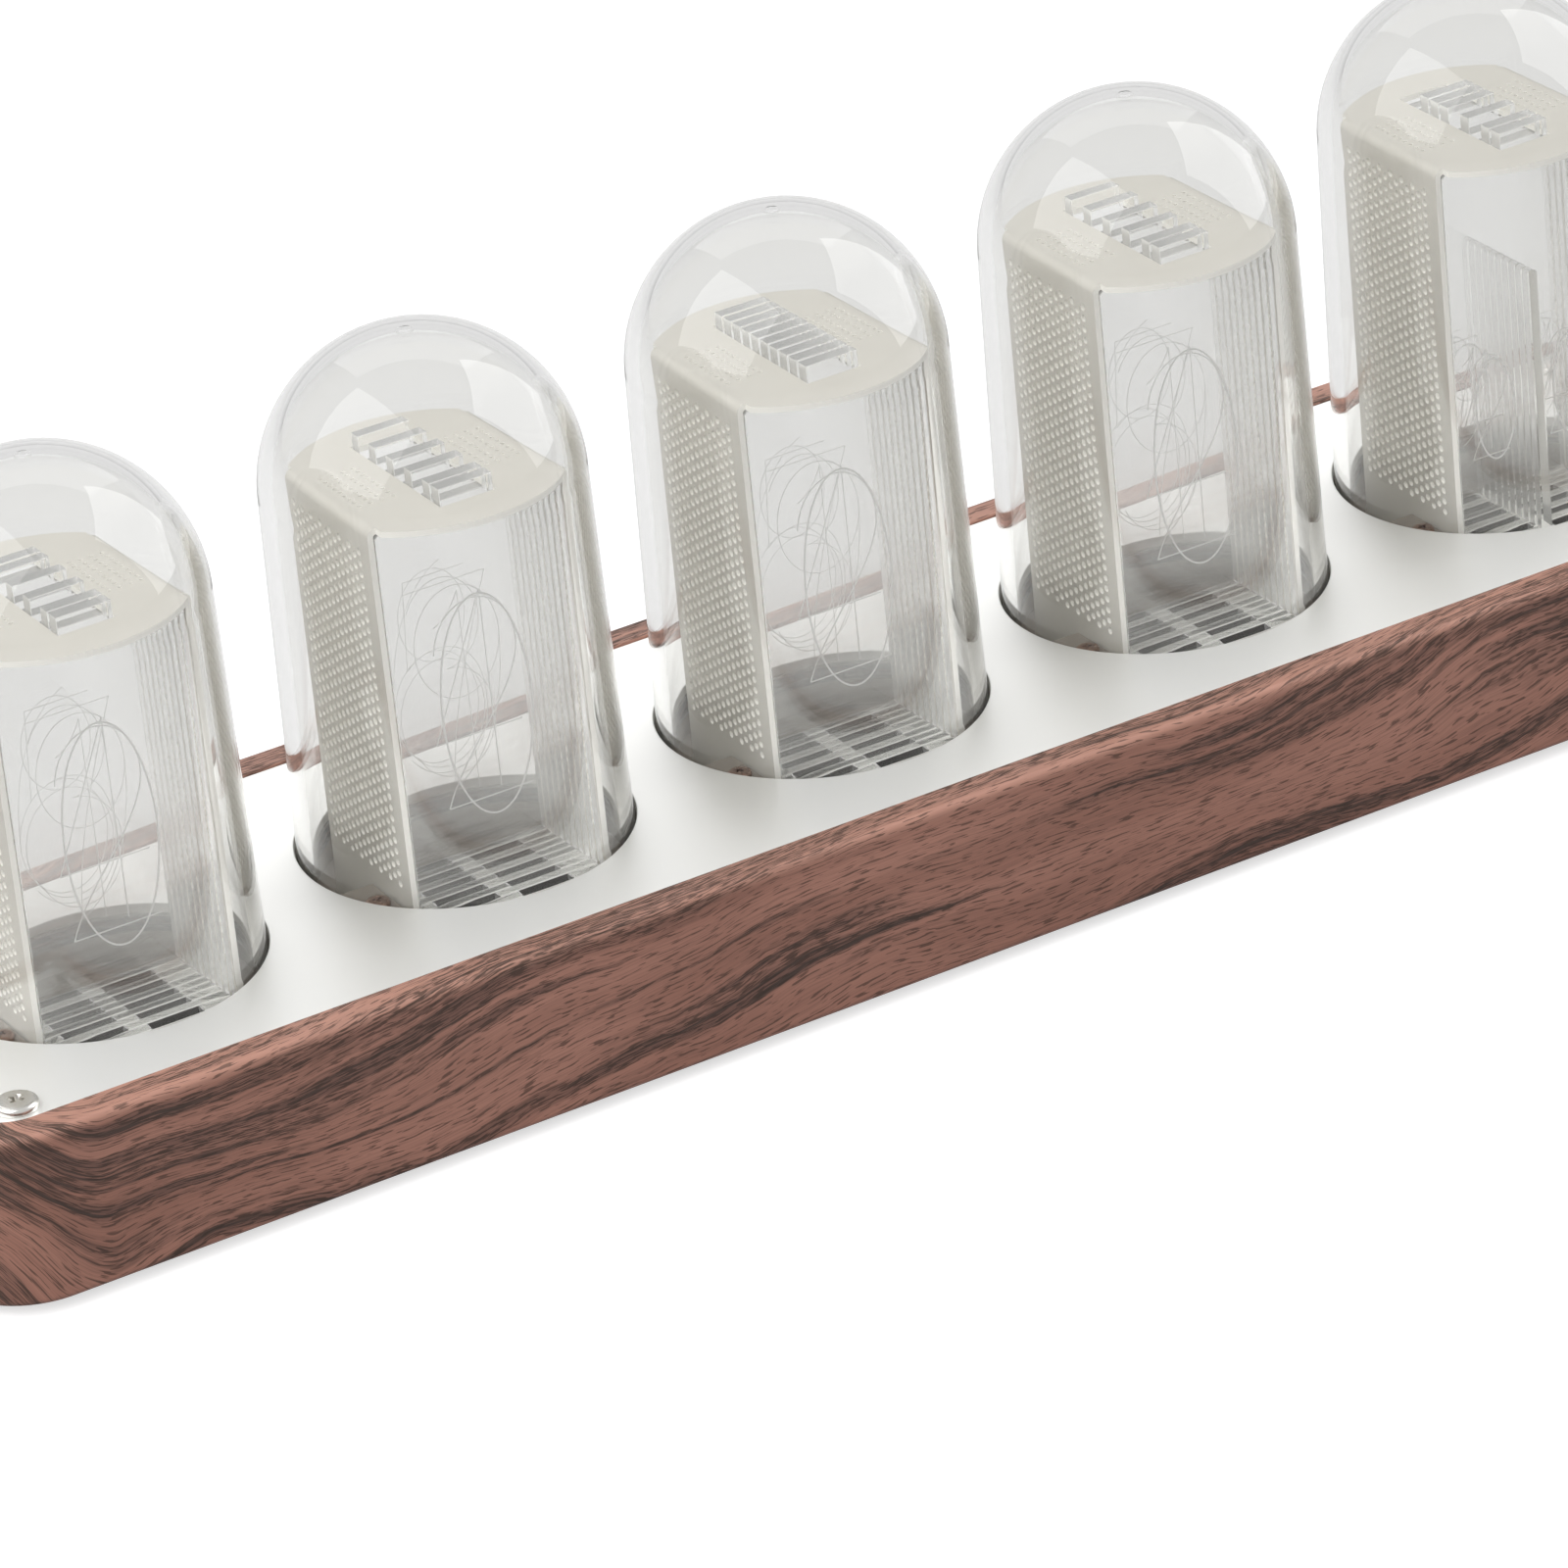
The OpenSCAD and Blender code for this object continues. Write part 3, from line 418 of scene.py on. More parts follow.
def makeWood():
    look = woodLook
    material, tree = newMaterial("caseVeneer")
    grainMap = put(tree, "UVMap", uv_map="grain").outputs[0]
    split = put(tree, "SeparateXYZ", {0: grainMap})

    def combine(operation, *values):
        total = values[0]
        for value in values[1:]:
            total = put(tree, "Math", {0: total, 1: value}, operation=operation).outputs[0]
        return total

    def noise(vector, key):
        scale, detail, roughness, *lean = woodNoises[key]
        mapping = put(tree, "Mapping", {"Vector": vector, "Scale": scale,
                                        "Rotation": (0, 0, math.radians(sum(lean)))})
        return put(tree, "TexNoise", {"Vector": mapping.outputs[0], "Scale": 1.0, "Detail": detail,
                                      "Roughness": roughness}).outputs["Fac"]

    def ramp(value, low, high, to=(0.0, 1.0)):
        return put(tree, "MapRange", {"Value": value, "From Min": low, "From Max": high,
                                      "To Min": to[0], "To Max": to[1]},
                   interpolation_type="SMOOTHSTEP").outputs[0]

    wave = combine("MULTIPLY", noise(grainMap, "wave"), look["wave"])
    ripple = combine("MULTIPLY", noise(grainMap, "ripple"), look["ripple"])
    drift = combine("MULTIPLY", split.outputs["X"], look["drift"])
    corner = ramp(split.outputs["X"], *look["corner"], (0.0, look["cornerRise"]))
    across = combine("ADD", split.outputs["Y"], corner, combine("ADD", wave, drift, ripple))
    bent = put(tree, "CombineXYZ", {"X": split.outputs["X"], "Y": across}).outputs[0]

    denser = ramp(split.outputs["Y"], *look["denser"], look["denserBy"])
    bands = ramp(combine("ADD", noise(bent, "bands"), denser), 0.47, 0.58)
    fineBands = ramp(noise(bent, "fineBands"), 0.42, 0.58)
    lines = ramp(noise(bent, "lines"), 0.47, 0.56)
    breaks = ramp(noise(bent, "breaks"), 0.36, 0.5)
    pores = ramp(noise(bent, "pores"), 0.5, 0.57)
    rarePores = ramp(noise(bent, "rarePores"), 0.57, 0.62)
    fibres = ramp(noise(bent, "fibres"), 0.38, 0.72, (0.0, look["fibreShare"]))
    inBand = combine("MULTIPLY", bands, ramp(fineBands, 0, 1, (0.45, 1.0)))
    inLine = combine("MULTIPLY", lines, breaks, inBand, look["lineShare"])
    inPore = combine("MAXIMUM", combine("MULTIPLY", pores, ramp(inBand, 0.0, 0.5)),
                     combine("MULTIPLY", rarePores, look["rarePoreShare"]))
    colour = blend(tree, ramp(noise(bent, "tones"), 0.35, 0.65), paint(look["middle"]), paint(look["light"]))
    # The lighter tone near the top of the outer face is a painted highlight on the rounded top edge
    for factor, tone in ((fibres, "band"), (combine("MULTIPLY", inBand, look["bandShare"]), "band"),
                         (ramp(split.outputs["Y"], *look["rim"], (0.0, look["rimHighlightShare"])), "rimHighlightTone"),
                         (inLine, "line"), (combine("MULTIPLY", inPore, look["poreShare"]), "line")):
        colour = blend(tree, factor, colour, paint(look[tone]))
    rough = put(tree, "MapRange", {"Value": inPore, "To Min": look["roughness"][0],
                                   "To Max": look["roughness"][1]})
    bump = put(tree, "Bump", {"Height": combine("SUBTRACT", 1.0, inPore), "Strength": look["bumpStrength"],
                              "Distance": look["poreDepth"]})
    shader = put(tree, "BsdfPrincipled", {"Base Color": colour, "Roughness": rough.outputs[0],
                                          "Normal": bump.outputs[0], "Specular IOR Level": look["shine"]})
    put(tree, "OutputMaterial", {"Surface": shader.outputs[0]})
    return material


wood = makeWood()
# Each plain finish: two tones, lowest and highest roughness, metallic, grain scale, grain height in mm, patch scale
aluminium = plainFinish("beadBlastedAluminium", ("#f4f4f2", "#f8f8f6"), (0.44, 0.52), 0.85, 5200.0, 0.004, 25.0)
steel = plainFinish("polishedSteel", ("#cfcdc8", "#dcdad6"), (0.16, 0.26), 1.0, 2400.0, 0.002, 300.0)
darkSteel = plainFinish("blackenedSteel", ("#2c2c2e", "#363638"), (0.3, 0.42), 1.0, 2400.0, 0.003, 300.0)
copper = plainFinish("copperedSteel", ("#ad9488", "#a08377"), (0.24, 0.36), 1.0, 2400.0, 0.003, 400.0)
brass = plainFinish("turnedBrass", ("#c9a25a", "#b58f4a"), (0.25, 0.38), 1.0, 2400.0, 0.004, 300.0)
canMetal = plainFinish("nickelPlate", ("#c9c9c9", "#bdbdbe"), (0.24, 0.34), 1.0, 2400.0, 0.003, 200.0)
shroudMetal = plainFinish("mattWarmGreyPaint", ("#c0bdb6", "#c8c5be"), (0.42, 0.52), 0.0, 3600.0, 0.008, 90.0)
# The punched edges are lighter than the sheet's paint: a painted highlight on the hole walls
punchedEdgeHighlight = plainFinish("highlightedPunchedEdge", ("#f1efea", "#eae8e3"), (0.3, 0.42), 0.0, 3600.0, 0.004, 90.0)
guideWhite = plainFinish("lightGuideWhite", ("#fafaf8", "#f3f3f1"), (0.45, 0.55), 0.0, 2500.0, 0.006, 120.0)
# Black slot walls: painted shade inside the light guide's deep slots
slotShade = plainFinish("paintedSlotShade", ("#201f1e", "#2a2826"), (0.6, 0.7), 0.0, 2500.0, 0.01, 200.0)
socketPlastic = plainFinish("socketPlastic", ("#7d766f", "#888179"), (0.4, 0.52), 0.0, 2600.0, 0.012, 150.0)
rubber = plainFinish("blackRubber", ("#1d1d1e", "#262627"), (0.62, 0.78), 0.0, 1800.0, 0.03, 120.0)
greySilicone = plainFinish("greySilicone", ("#8b8a87", "#7f7e7b"), (0.5, 0.62), 0.0, 1800.0, 0.02, 120.0)
blackPaint = plainFinish("blackPowderCoat", ("#222224", "#29292b"), (0.42, 0.54), 0.0, 1500.0, 0.025, 90.0)
buttonPlastic = plainFinish("buttonPlastic", ("#2c2c2e", "#343436"), (0.3, 0.4), 0.0, 2600.0, 0.008, 200.0)
darkPlastic = plainFinish("mouldedDarkPlastic", ("#2e2e30", "#373739"), (0.4, 0.52), 0.0, 2400.0, 0.012, 200.0)
chipPlastic = plainFinish("chipEpoxy", ("#232325", "#2b2b2c"), (0.5, 0.62), 0.0, 3200.0, 0.012, 400.0)
boardGreen = plainFinish("boardLaminate", ("#1d3f2d", "#234a35"), (0.24, 0.34), 0.0, 700.0, 0.006, 120.0, coat=0.3)
ceramic = plainFinish("firedCeramic", ("#b59a72", "#a68a64"), (0.5, 0.6), 0.0, 3000.0, 0.008, 500.0)
diodeResin = plainFinish("diodeResin", ("#efe6c6", "#f6f0d8"), (0.22, 0.3), 0.0, 2600.0, 0.004, 300.0)
whitePlastic = plainFinish("whiteFlatCable", ("#e9e9e6", "#dededb"), (0.4, 0.5), 0.0, 2600.0, 0.006, 200.0)
creamPlastic = plainFinish("creamPlastic", ("#d9d3c4", "#cfc8b8"), (0.38, 0.48), 0.0, 2600.0, 0.008, 200.0)
# Each clear finish: its tone, its tone in a shadow, roughness, index of refraction, clear share and grain scale
domeGlass = clearFinish("domeGlass", "#f8f8f7", "#fbfbfa", 0.0, 1.49)
acrylic = clearFinish("clearAcrylic", "#ffffff", "#ffffff", 0.0, 1.46, 0.993)
cutEdge = clearFinish("cutAcrylicEdge", "#fdfdfc", "#fdfdfc", 0.25, 1.49, 0.72, 1400.0)
engraving = clearFinish("engravedLine", "#dcdcdb", "#ffffff", 0.5, 1.2, 0.45, 2600.0)
print("materials ready")

caseForm = {"cornerRadius": 12.0, "rim": 5.0, "ledge": 3.2, "edgeRound": 0.9, "footRound": 1.0, "innerRound": 0.3,
            "ledgeRound": 0.2, "arcSteps": 28, "grainScale": 0.1, "baseDepth": 2.3, "boardGap": 0.3}
# The rear panel, which the case is recessed for
panelForm = {"bevel": 0.25, "button": 2.8, "mouth": (9.4, 3.7), "screwHole": 1.1, "thickness": 1.5, "corner": 0.8}


# The case is one profile of inset and height carried round a rounded rectangle. A point's place is the outline
# drawn in by its inset, and its map is the way along the outline and across the profile, so the veneer wraps.
def makeCase():
    form = caseForm
    radius, steps = form["cornerRadius"], form["arcSteps"]
    halfX, halfY = caseHigh[0], caseHigh[1]
    rim, deep = form["rim"], form["rim"] + form["ledge"]
    bottom, top, baseTop = caseLow[2], caseHigh[2], caseLow[2] + form["baseDepth"]
    corners = [[0, bottom], [0, top], [rim, top], [rim, plateBottom], [deep, plateBottom], [deep, baseTop],
               [rim, baseTop], [rim, bottom]]
    radii = [form["footRound"], form["edgeRound"], form["innerRound"], 0,
             form["ledgeRound"], form["ledgeRound"], 0, form["innerRound"]]
    profile = roundCorners(corners, radii, 5)
    quarter = np.linspace(0, np.pi / 2, steps + 1)
    arcs = [start + quarter for start in np.radians([90, 180, 270, 360])]
    turn = np.concatenate([[np.pi / 2]] + arcs + [[5 * np.pi / 2]])
    arcCentres = np.array([[-1, 1], [-1, -1], [1, -1], [1, 1]]) * [halfX - radius, halfY - radius]
    middles = np.repeat(arcCentres, steps + 1, axis=0)
    middles = np.vstack([[[0, halfY - radius]], middles, [[0, halfY - radius]]])
    outward = np.stack([np.cos(turn), np.sin(turn)], -1)
    place = middles[:, None] + outward[:, None] * (radius - profile[None, :, :1])
    points = np.concatenate([place, np.broadcast_to(profile[None, :, 1:], place.shape[:2] + (1,))], -1)
    points = points[:-1].reshape(-1, 3)
    outer = middles + outward * radius
    along = np.concatenate([[0], np.cumsum(np.linalg.norm(np.diff(outer, axis=0), axis=1))])
    loop = np.vstack([profile, profile[:1]])
    across = np.concatenate([[0], np.cumsum(np.linalg.norm(np.diff(loop, axis=0), axis=1))])
    n, m = len(along), len(profile)
    faces = gridFaces(n - 1, m, True, True)
    facingOut = facesOutwards(points, [faces])[0]
    ring = pieceFrom("caseRing", points, [facingOut], closed=False)
    i, j = np.meshgrid(np.arange(n - 1), np.arange(m), indexing="ij")
    quad = np.stack([np.stack([along[i + a], across[j + b]], -1) for a, b in ((0, 0), (0, 1), (1, 1), (1, 0))],
                    2).reshape(-1, 4, 2)
    if not np.array_equal(facingOut, faces):
        quad = quad[:, ::-1]
    grain = ring.data.uv_layers.new(name="grain")
    grain.data.foreach_set("uv", (quad * form["grainScale"]).astype(np.float32).ravel())
    panelLow, panelHigh = nodeBox("rear_panel")
    boardLow, boardHigh = nodeBox("rear_board")
    past = halfY + 5
    panelRecess = blockFaces([panelLow[0] - 0.2, panelHigh[1] - panelForm["thickness"], panelLow[2] - 0.2],
                             [panelHigh[0] + 0.2, past, panelHigh[2] + 0.2])
    boardWindow = blockFaces([boardLow[0] - 1, halfY - deep - 2, boardLow[2] - form["boardGap"]],
                             [boardHigh[0] + 1, past, boardHigh[2] + form["boardGap"]])
    return smooth(cutWith(ring, [panelRecess, boardWindow]), 35, weighted=True)


finishPiece(makeCase(), wood, ["wood_frame"])
print("case ready")

screwForms = {"m3": {"shank": 1.5, "head": 2.95, "height": 1.3, "recess": 1.3, "slot": 0.36, "depth": 0.85},
              "m2": {"shank": 1.0, "head": 1.9, "height": 0.8, "recess": 0.85, "slot": 0.24, "depth": 0.55},
              "m2small": {"shank": 1.0, "head": 1.6, "height": 1.0, "recess": 0.75, "slot": 0.22, "depth": 0.6}}
topPlateForm = {"bevel": 0.2, "cornerRadius": 6.85, "screwHole": 3.4, "domeHole": 22.7}
baseCoverForm = {"bevel": 0.3, "cornerRadius": 6.85, "soundHoles": 7, "soundPitch": 3.0, "soundRadius": 0.8,
                 "soundY": -2, "standoffY": 22.5}
screwHigh = nodeBox("top_plate_screws")[1]
cornerScrewX, cornerScrewY = screwHigh[0] - screwForms["m3"]["head"], screwHigh[1] - screwForms["m3"]["head"]
screwPlaces = [(sx * cornerScrewX, sy * cornerScrewY) for sx in (-1, 1) for sy in (-1, 1)]
standoffPlaces = [((a + b) / 2, sy * baseCoverForm["standoffY"]) for a, b in zip(tubeCentres, tubeCentres[1:])
                  for sy in (-1, 1)]


def makeTopPlate():
    form = topPlateForm
    outline = rectangleLine(plateLow[0], plateHigh[0], plateLow[1], plateHigh[1], form["cornerRadius"], 16)
    holes = [circleLine(x, 0, form["domeHole"], 128) for x in tubeCentres]
    holes += [circleLine(x, y, form["screwHole"] / 2, 32) for x, y in screwPlaces]
    return smooth(flatPlate("topPlate", outline, holes, plateBottom, plateTop, form["bevel"]), 50, weighted=True)


def makeBaseCover():
    form, low, high = baseCoverForm, *nodeBox("base_cover")
    outline = rectangleLine(low[0], high[0], low[1], high[1], form["cornerRadius"], 16)
    half = form["soundHoles"] // 2
    holes = [circleLine(tubeCentres[4] + k * form["soundPitch"], form["soundY"], form["soundRadius"], 24)
             for k in range(-half, half + 1)]
    return smooth(flatPlate("baseCover", outline, holes, low[2], high[2], form["bevel"]), 50, weighted=True)


finishPiece(makeTopPlate(), aluminium, ["top_plate"])
finishPiece(makeBaseCover(), blackPaint, ["base_cover"])
print("plates ready")


# A pan head on a shank: the head's profile is a flank, a rounded shoulder and a slightly domed top, and a tapered
# cross is cut into it. It points down, with the head's underside at height 0.
def screwShape(kind, length):
    form = screwForms[kind]
    head, height, shank = form["head"], form["height"], form["shank"]
    bend = np.linspace(0, np.pi / 2, 7)
    shoulder = np.stack([head - 0.55 * height * (1 - np.cos(bend)), 0.4 * height + 0.5 * height * np.sin(bend)], -1)
    crownRadii = np.linspace(shoulder[-1, 0] * 0.8, 0, 4)
    crown = np.stack([crownRadii, height * (0.9 + 0.1 * np.linspace(0.36, 1, 4))], -1)
    stem = [[0, -length], [shank - 0.25, -length], [shank, 0.3 - length], [shank, 0], [head - 0.1, 0], [head, 0.1]]
    profile = np.vstack([stem, shoulder, crown])
    screw = pieceFrom("screw", *turned(profile, segments=48))
    cutters = []
    for across in (False, True):
        deepX, deepY = form["recess"] * 0.55, form["slot"] * 0.7
        points, faces = blockFaces([-deepX, -deepY, height - form["depth"]], [deepX, deepY, height + 0.3])
        upper = points[:, 2] > height
        points[upper, :2] = np.sign(points[upper, :2]) * [form["recess"], form["slot"]]
        cutters.append((points[:, [1, 0, 2]] if across else points, faces))
    screw = cutWith(screw, cutters)
    mesh = screw.data
    points = np.empty(len(mesh.vertices) * 3)
    mesh.vertices.foreach_get("co", points)
    mesh.calc_loop_triangles()
    triangles = np.empty(len(mesh.loop_triangles) * 3, np.int32)
    mesh.loop_triangles.foreach_get("vertices", triangles)
    bpy.data.objects.remove(screw)
    return points.reshape(-1, 3) * 1000, triangles.reshape(-1, 3)


# Screws at places, each turned by its own angle about its axis, with the axis up, down or to the back
def screwSet(name, kind, length, places, facing="up"):
    points, triangles = screwShape(kind, length)
    sets, faces = [], []
    for k, place in enumerate(places):
        c, s = math.cos(0.7 + 1.9 * k), math.sin(0.7 + 1.9 * k)
        x, y, z = points[:, 0] * c - points[:, 1] * s, points[:, 0] * s + points[:, 1] * c, points[:, 2]
        moved = np.stack({"up": (x, y, z), "down": (x, -y, -z), "back": (x, z, -y)}[facing], -1)
        faces.append(triangles + len(points) * k)
        sets.append(moved + np.asarray(place, float))
    return smooth(pieceFrom(name, np.vstack(sets), [np.vstack(faces)]), 38)


bossForm = {"x": 16.9, "y": 7.0, "headHeight": 1.0}
baseBottom = nodeBox("base_cover")[0][2]
bossTop = nodeBox("socket_screws")[1][2] - bossForm["headHeight"]
cornerPlaces = [(x, y, plateTop) for x, y in screwPlaces]
basePlaces = [(x, y, baseBottom) for x, y in screwPlaces + standoffPlaces]
bossPlaces = [(x + s * bossForm["x"], s * bossForm["y"], bossTop) for x in tubeCentres for s in (-1, 1)]
finishPiece(screwSet("cornerScrews", "m3", 6.0, cornerPlaces), steel, ["top_plate_screws"])
finishPiece(screwSet("baseScrews", "m3", 5.0, basePlaces, "down"), steel, ["base_screws"])
finishPiece(screwSet("socketScrews", "m2small", 8.0, bossPlaces), copper, ["socket_screws"])
print("screws ready")

footForm = {"radius": 6.0, "drawnIn": 0.5, "soleHeight": 0.7}


def makeFeet():
    low, high = nodeBox("rubber_feet")
    radius = footForm["radius"]
    corners = [[0, low[2]], [radius - footForm["drawnIn"], low[2]], [radius, low[2] + footForm["soleHeight"]],
               [radius, high[2]], [0, high[2]]]
    foot = turned(roundCorners(corners, [0, 0.5, 0.4, 0.1, 0], 5), segments=64)
    places = [(sx * (high[0] - radius), sy * (high[1] - radius), 0) for sx in (-1, 1) for sy in (-1, 1)]
    return smooth(pieceFrom("rubberFeet", *repeated(*foot, places)), 50)


finishPiece(makeFeet(), rubber, ["rubber_feet"])

domeForm = {"wall": 2.0, "draft": 1.8, "flange": 2.1, "flangeHeight": 1.6, "shoulderBelow": 21.5,
            "markRadius": 0.9, "markWidth": 0.2, "markDepth": 0.04, "segments": 128}


# A dome's profile runs from the outer pole down the round top and the tapered wall, round the flange, and up the
# inner side to the inner pole, so the glass is one closed shell. A faint ring is pressed into the pole.
def makeDome(number):
    form, low, high = domeForm, *nodeBox(f"glass_dome_{number}")
    topRadius = form["shoulderBelow"]
    shoulder, foot, wall = high[2] - topRadius, low[2], form["wall"]
    base, flangeTop = topRadius + form["draft"] / 2, low[2] + form["flangeHeight"]
    edge = base + form["flange"]
    rise = np.concatenate([np.linspace(0, 0.16, 26)[1:], np.linspace(0.16, np.pi / 2, 40)[1:]])
    outer, inner = (np.stack([radius * np.sin(rise), shoulder + radius * np.cos(rise)], -1)
                    for radius in (topRadius, topRadius - wall))
    outer[:, 1] -= form["markDepth"] * np.exp(-((outer[:, 0] - form["markRadius"]) / form["markWidth"]) ** 2)
    corners = [[base, plateTop], [base, flangeTop], [edge, flangeTop], [edge, foot], [base - wall, foot],
               [base - wall, plateTop]]
    flange = roundCorners(corners, [0, 0.25, 0.3, 0.3, 0.3, 0], 3)
    profile = np.vstack([[[0, high[2]]], outer, flange, inner[::-1], [[0, high[2] - wall]]])
    glass = turned(profile, (tubeCentres[number - 1], 0), form["segments"])
    return smooth(pieceFrom(f"glassDome{number}", *glass), 45)


for number in tubeNumbers:
    finishPiece(makeDome(number), domeGlass, [f"glass_dome_{number}"])
print("domes ready")

shroudForm = {"sheet": 0.8, "depth": 23.7, "bend": 1.2, "cornerRadius": 18.65, "pitch": 1.6, "columnStep": 1.34,
              "columns": 15, "frontBorder": 2.25, "hole": 1.04, "topRows": 3.03, "bottom": 17.0,
              "plainLines": (19.5, 21.8), "lastBorder": 1.1, "rows": 31, "slotHalf": 4.05, "slotEnd": 12.2,
              "ventHole": 0.62, "ventBorder": 0.7, "ventRows": 4, "ventColumns": (3, 12)}


# The shroud is one flat pattern bent over. Its grid has lines at s along the sheet (up the left leg, over the top
# and down the right leg) and at y across it. A hole takes two by two cells: their rim is joined to an octagon on a
# circle. The bend maps s to x and z: straight up the leg, an arc of the bend's radius, then straight along the top.
def makeShroud(number):
    form, low, high = shroudForm, *nodeBox(f"mesh_shroud_{number}")
    halfX, halfY, top, radius = (high[0] - low[0]) / 2, form["depth"] / 2, high[2], form["bend"]
    legTop, half = top - radius, form["pitch"] / 2
    rowsTop = top - form["topRows"]
    legLines = np.concatenate([[form["bottom"], *form["plainLines"]],
                               rowsTop - half * np.arange(2 * form["rows"] + 1)[::-1],
                               [legTop - form["lastBorder"], legTop]])
    legLines = legLines[np.concatenate([[True], np.diff(legLines) > 1e-6])]
    arc, legLength, flat = radius * np.pi / 2, legTop - form["bottom"], halfX - radius
    ventStart = flat - form["ventBorder"] - half * 2 * form["ventRows"]
    ventLines = ventStart + half * np.arange(2 * form["ventRows"] + 1)[::-1]
    topHalf = np.concatenate([[flat], ventLines, [form["slotHalf"]]])
    legS = legLines - form["bottom"]
    arcS = legLength + arc * np.linspace(0, 1, 7)[1:-1]
    topX = np.concatenate([-topHalf, [-2.0, 0.0, 2.0], topHalf[::-1]])
    topS = legLength + arc + (topX + flat)
    total = 2 * (legLength + arc) + 2 * flat
    s = np.concatenate([legS, arcS, topS, total - arcS[::-1], total - legS[::-1]])
    firstColumn = -halfY + form["frontBorder"]
    columnLines = firstColumn + form["columnStep"] / 2 * np.arange(2 * form["columns"] + 1)
    inner = np.concatenate([[-halfY], [-halfY + form["frontBorder"] / 2], columnLines, [halfY]])
    nS, zone, nInner = len(s), 5, len(inner)
    innerFrom, innerTo = zone - 1, zone + nInner - 2
    firstTop = len(legS) + len(arcS)
    lastTop = firstTop + len(topX) - 1
    # y of every line at every s: the legs keep their width, the top widens to the round front and back edge
    x = np.full(nS, halfX)
    x[firstTop:lastTop + 1] = topX
    isTop = (np.arange(nS) >= firstTop) & (np.arange(nS) <= lastTop)
    toSlot = np.clip((flat - np.abs(x)) / (flat - form["slotHalf"]), 0, 1)
    edge = np.where(isTop, halfY + (form["slotEnd"] - halfY) * toSlot, halfY)
    outer = np.where(isTop, np.sqrt(form["cornerRadius"] ** 2 - np.minimum(np.abs(x), flat) ** 2), halfY)
    margin = outer[:, None] + (edge - outer)[:, None] * np.linspace(0, 1, zone)[:-1]
    y = np.hstack([-margin, np.broadcast_to(inner, (nS, nInner)), margin[:, ::-1]])
    y[:, innerFrom], y[:, innerTo] = -edge, edge
    nY = y.shape[1]
    used = np.zeros((nS - 1, nY - 1), bool)
    used[:, innerFrom:innerTo] = True
    used[firstTop:lastTop] = True
    overSlot = (np.abs((s[:-1] + s[1:]) / 2 - total / 2) < form["slotHalf"] - 0.01)[:, None]
    used &= ~(overSlot & (np.arange(nY - 1) >= innerFrom) & (np.arange(nY - 1) < innerTo))
    # the cells that carry a hole: line of s, line of y and radius, with a mirrored cell on the other leg or half
    column = np.arange(form["columns"])
    even = column % 2 == 0
    columnCells = innerFrom + 2 + 2 * column
    ventCells = columnCells[form["ventColumns"][0]:form["ventColumns"][1]]
    legStart = int(np.argmin(np.abs(legLines - (rowsTop - half * 2 * form["rows"]))))
    rows = []
    for k in range(form["rows"]):
        here = even if k == form["rows"] - 1 else np.full(len(column), True)
        rows.append(((legStart + 2 * k + column % 2)[here], columnCells[here], form["hole"] / 2))
    for k in range(form["ventRows"]):
        rows.append((np.full(len(ventCells), firstTop + 1 + 2 * k), ventCells, form["ventHole"] / 2))
    cells = np.vstack([np.stack([line, j, np.full(len(j), size)], -1)
                       for i, j, size in rows for line in (i, nS - 3 - i)])
    ci, cj, cr = cells[:, 0].astype(int), cells[:, 1].astype(int), cells[:, 2]
    for a, b in ((0, 0), (0, 1), (1, 0), (1, 1)):
        used[ci + a, cj + b] = False
    # flat points: the grid, then eight points round each hole
    grid = np.stack([np.broadcast_to(s[:, None], y.shape), y], -1).reshape(-1, 2)
    middle = grid[(ci + 1) * nY + cj + 1]
    ringSteps = np.array([(0, 0), (0, 1), (0, 2), (1, 2), (2, 2), (2, 1), (2, 0), (1, 0)])
    direction = (ringSteps - 1) * np.where(np.abs(ringSteps - 1).sum(1, keepdims=True) == 2, 0.7071, 1.0)
    rim = middle[:, None] + direction[None] * cr[:, None, None]
    flatPoints = np.vstack([grid, rim.reshape(-1, 2)])
    quads = gridFaces(nS, nY)[used.ravel()]
    border = np.stack([(ci + a) * nY + cj + b for a, b in ringSteps], -1)
    octagon = len(grid) + np.arange(len(cells) * 8).reshape(-1, 8)
    rings = np.stack([border, np.roll(border, -1, 1), np.roll(octagon, -1, 1), octagon], -1).reshape(-1, 4)
    # bending
    length = flatPoints[:, 0]
    mirrored = np.minimum(length, total - length)
    angle = np.clip((mirrored - legLength) / radius, 0, np.pi / 2)
    sideX = halfX - radius * (1 - np.cos(angle)) - np.maximum(mirrored - legLength - arc, 0)
    height = form["bottom"] + np.minimum(mirrored, legLength) + radius * np.sin(angle)
    bentX = tubeCentres[number - 1] + np.where(length < total / 2, -sideX, sideX)
    points = np.stack([bentX, flatPoints[:, 1], height], -1)
    faces = np.vstack([quads, rings])
    kept, renumbered = np.unique(faces, return_inverse=True)
    piece = pieceFrom(f"meshShroud{number}", points[kept], [renumbered.reshape(faces.shape)], closed=False)
    orderFaces(piece, upwards=True)
    # the rims of the sheet and its holes take the second material, lighter than the sheet: a painted highlight on
    # the cut walls
    piece.data.materials.append(shroudMetal)
    piece.data.materials.append(punchedEdgeHighlight)
    thick = piece.modifiers.new("thick", "SOLIDIFY")
    thick.thickness, thick.offset, thick.material_offset_rim = form["sheet"] / 1000, -1, 1
    return smooth(settle(piece), 40)


for number in tubeNumbers:
    finishPiece(makeShroud(number), (), [f"mesh_shroud_{number}"])
print("shrouds ready")

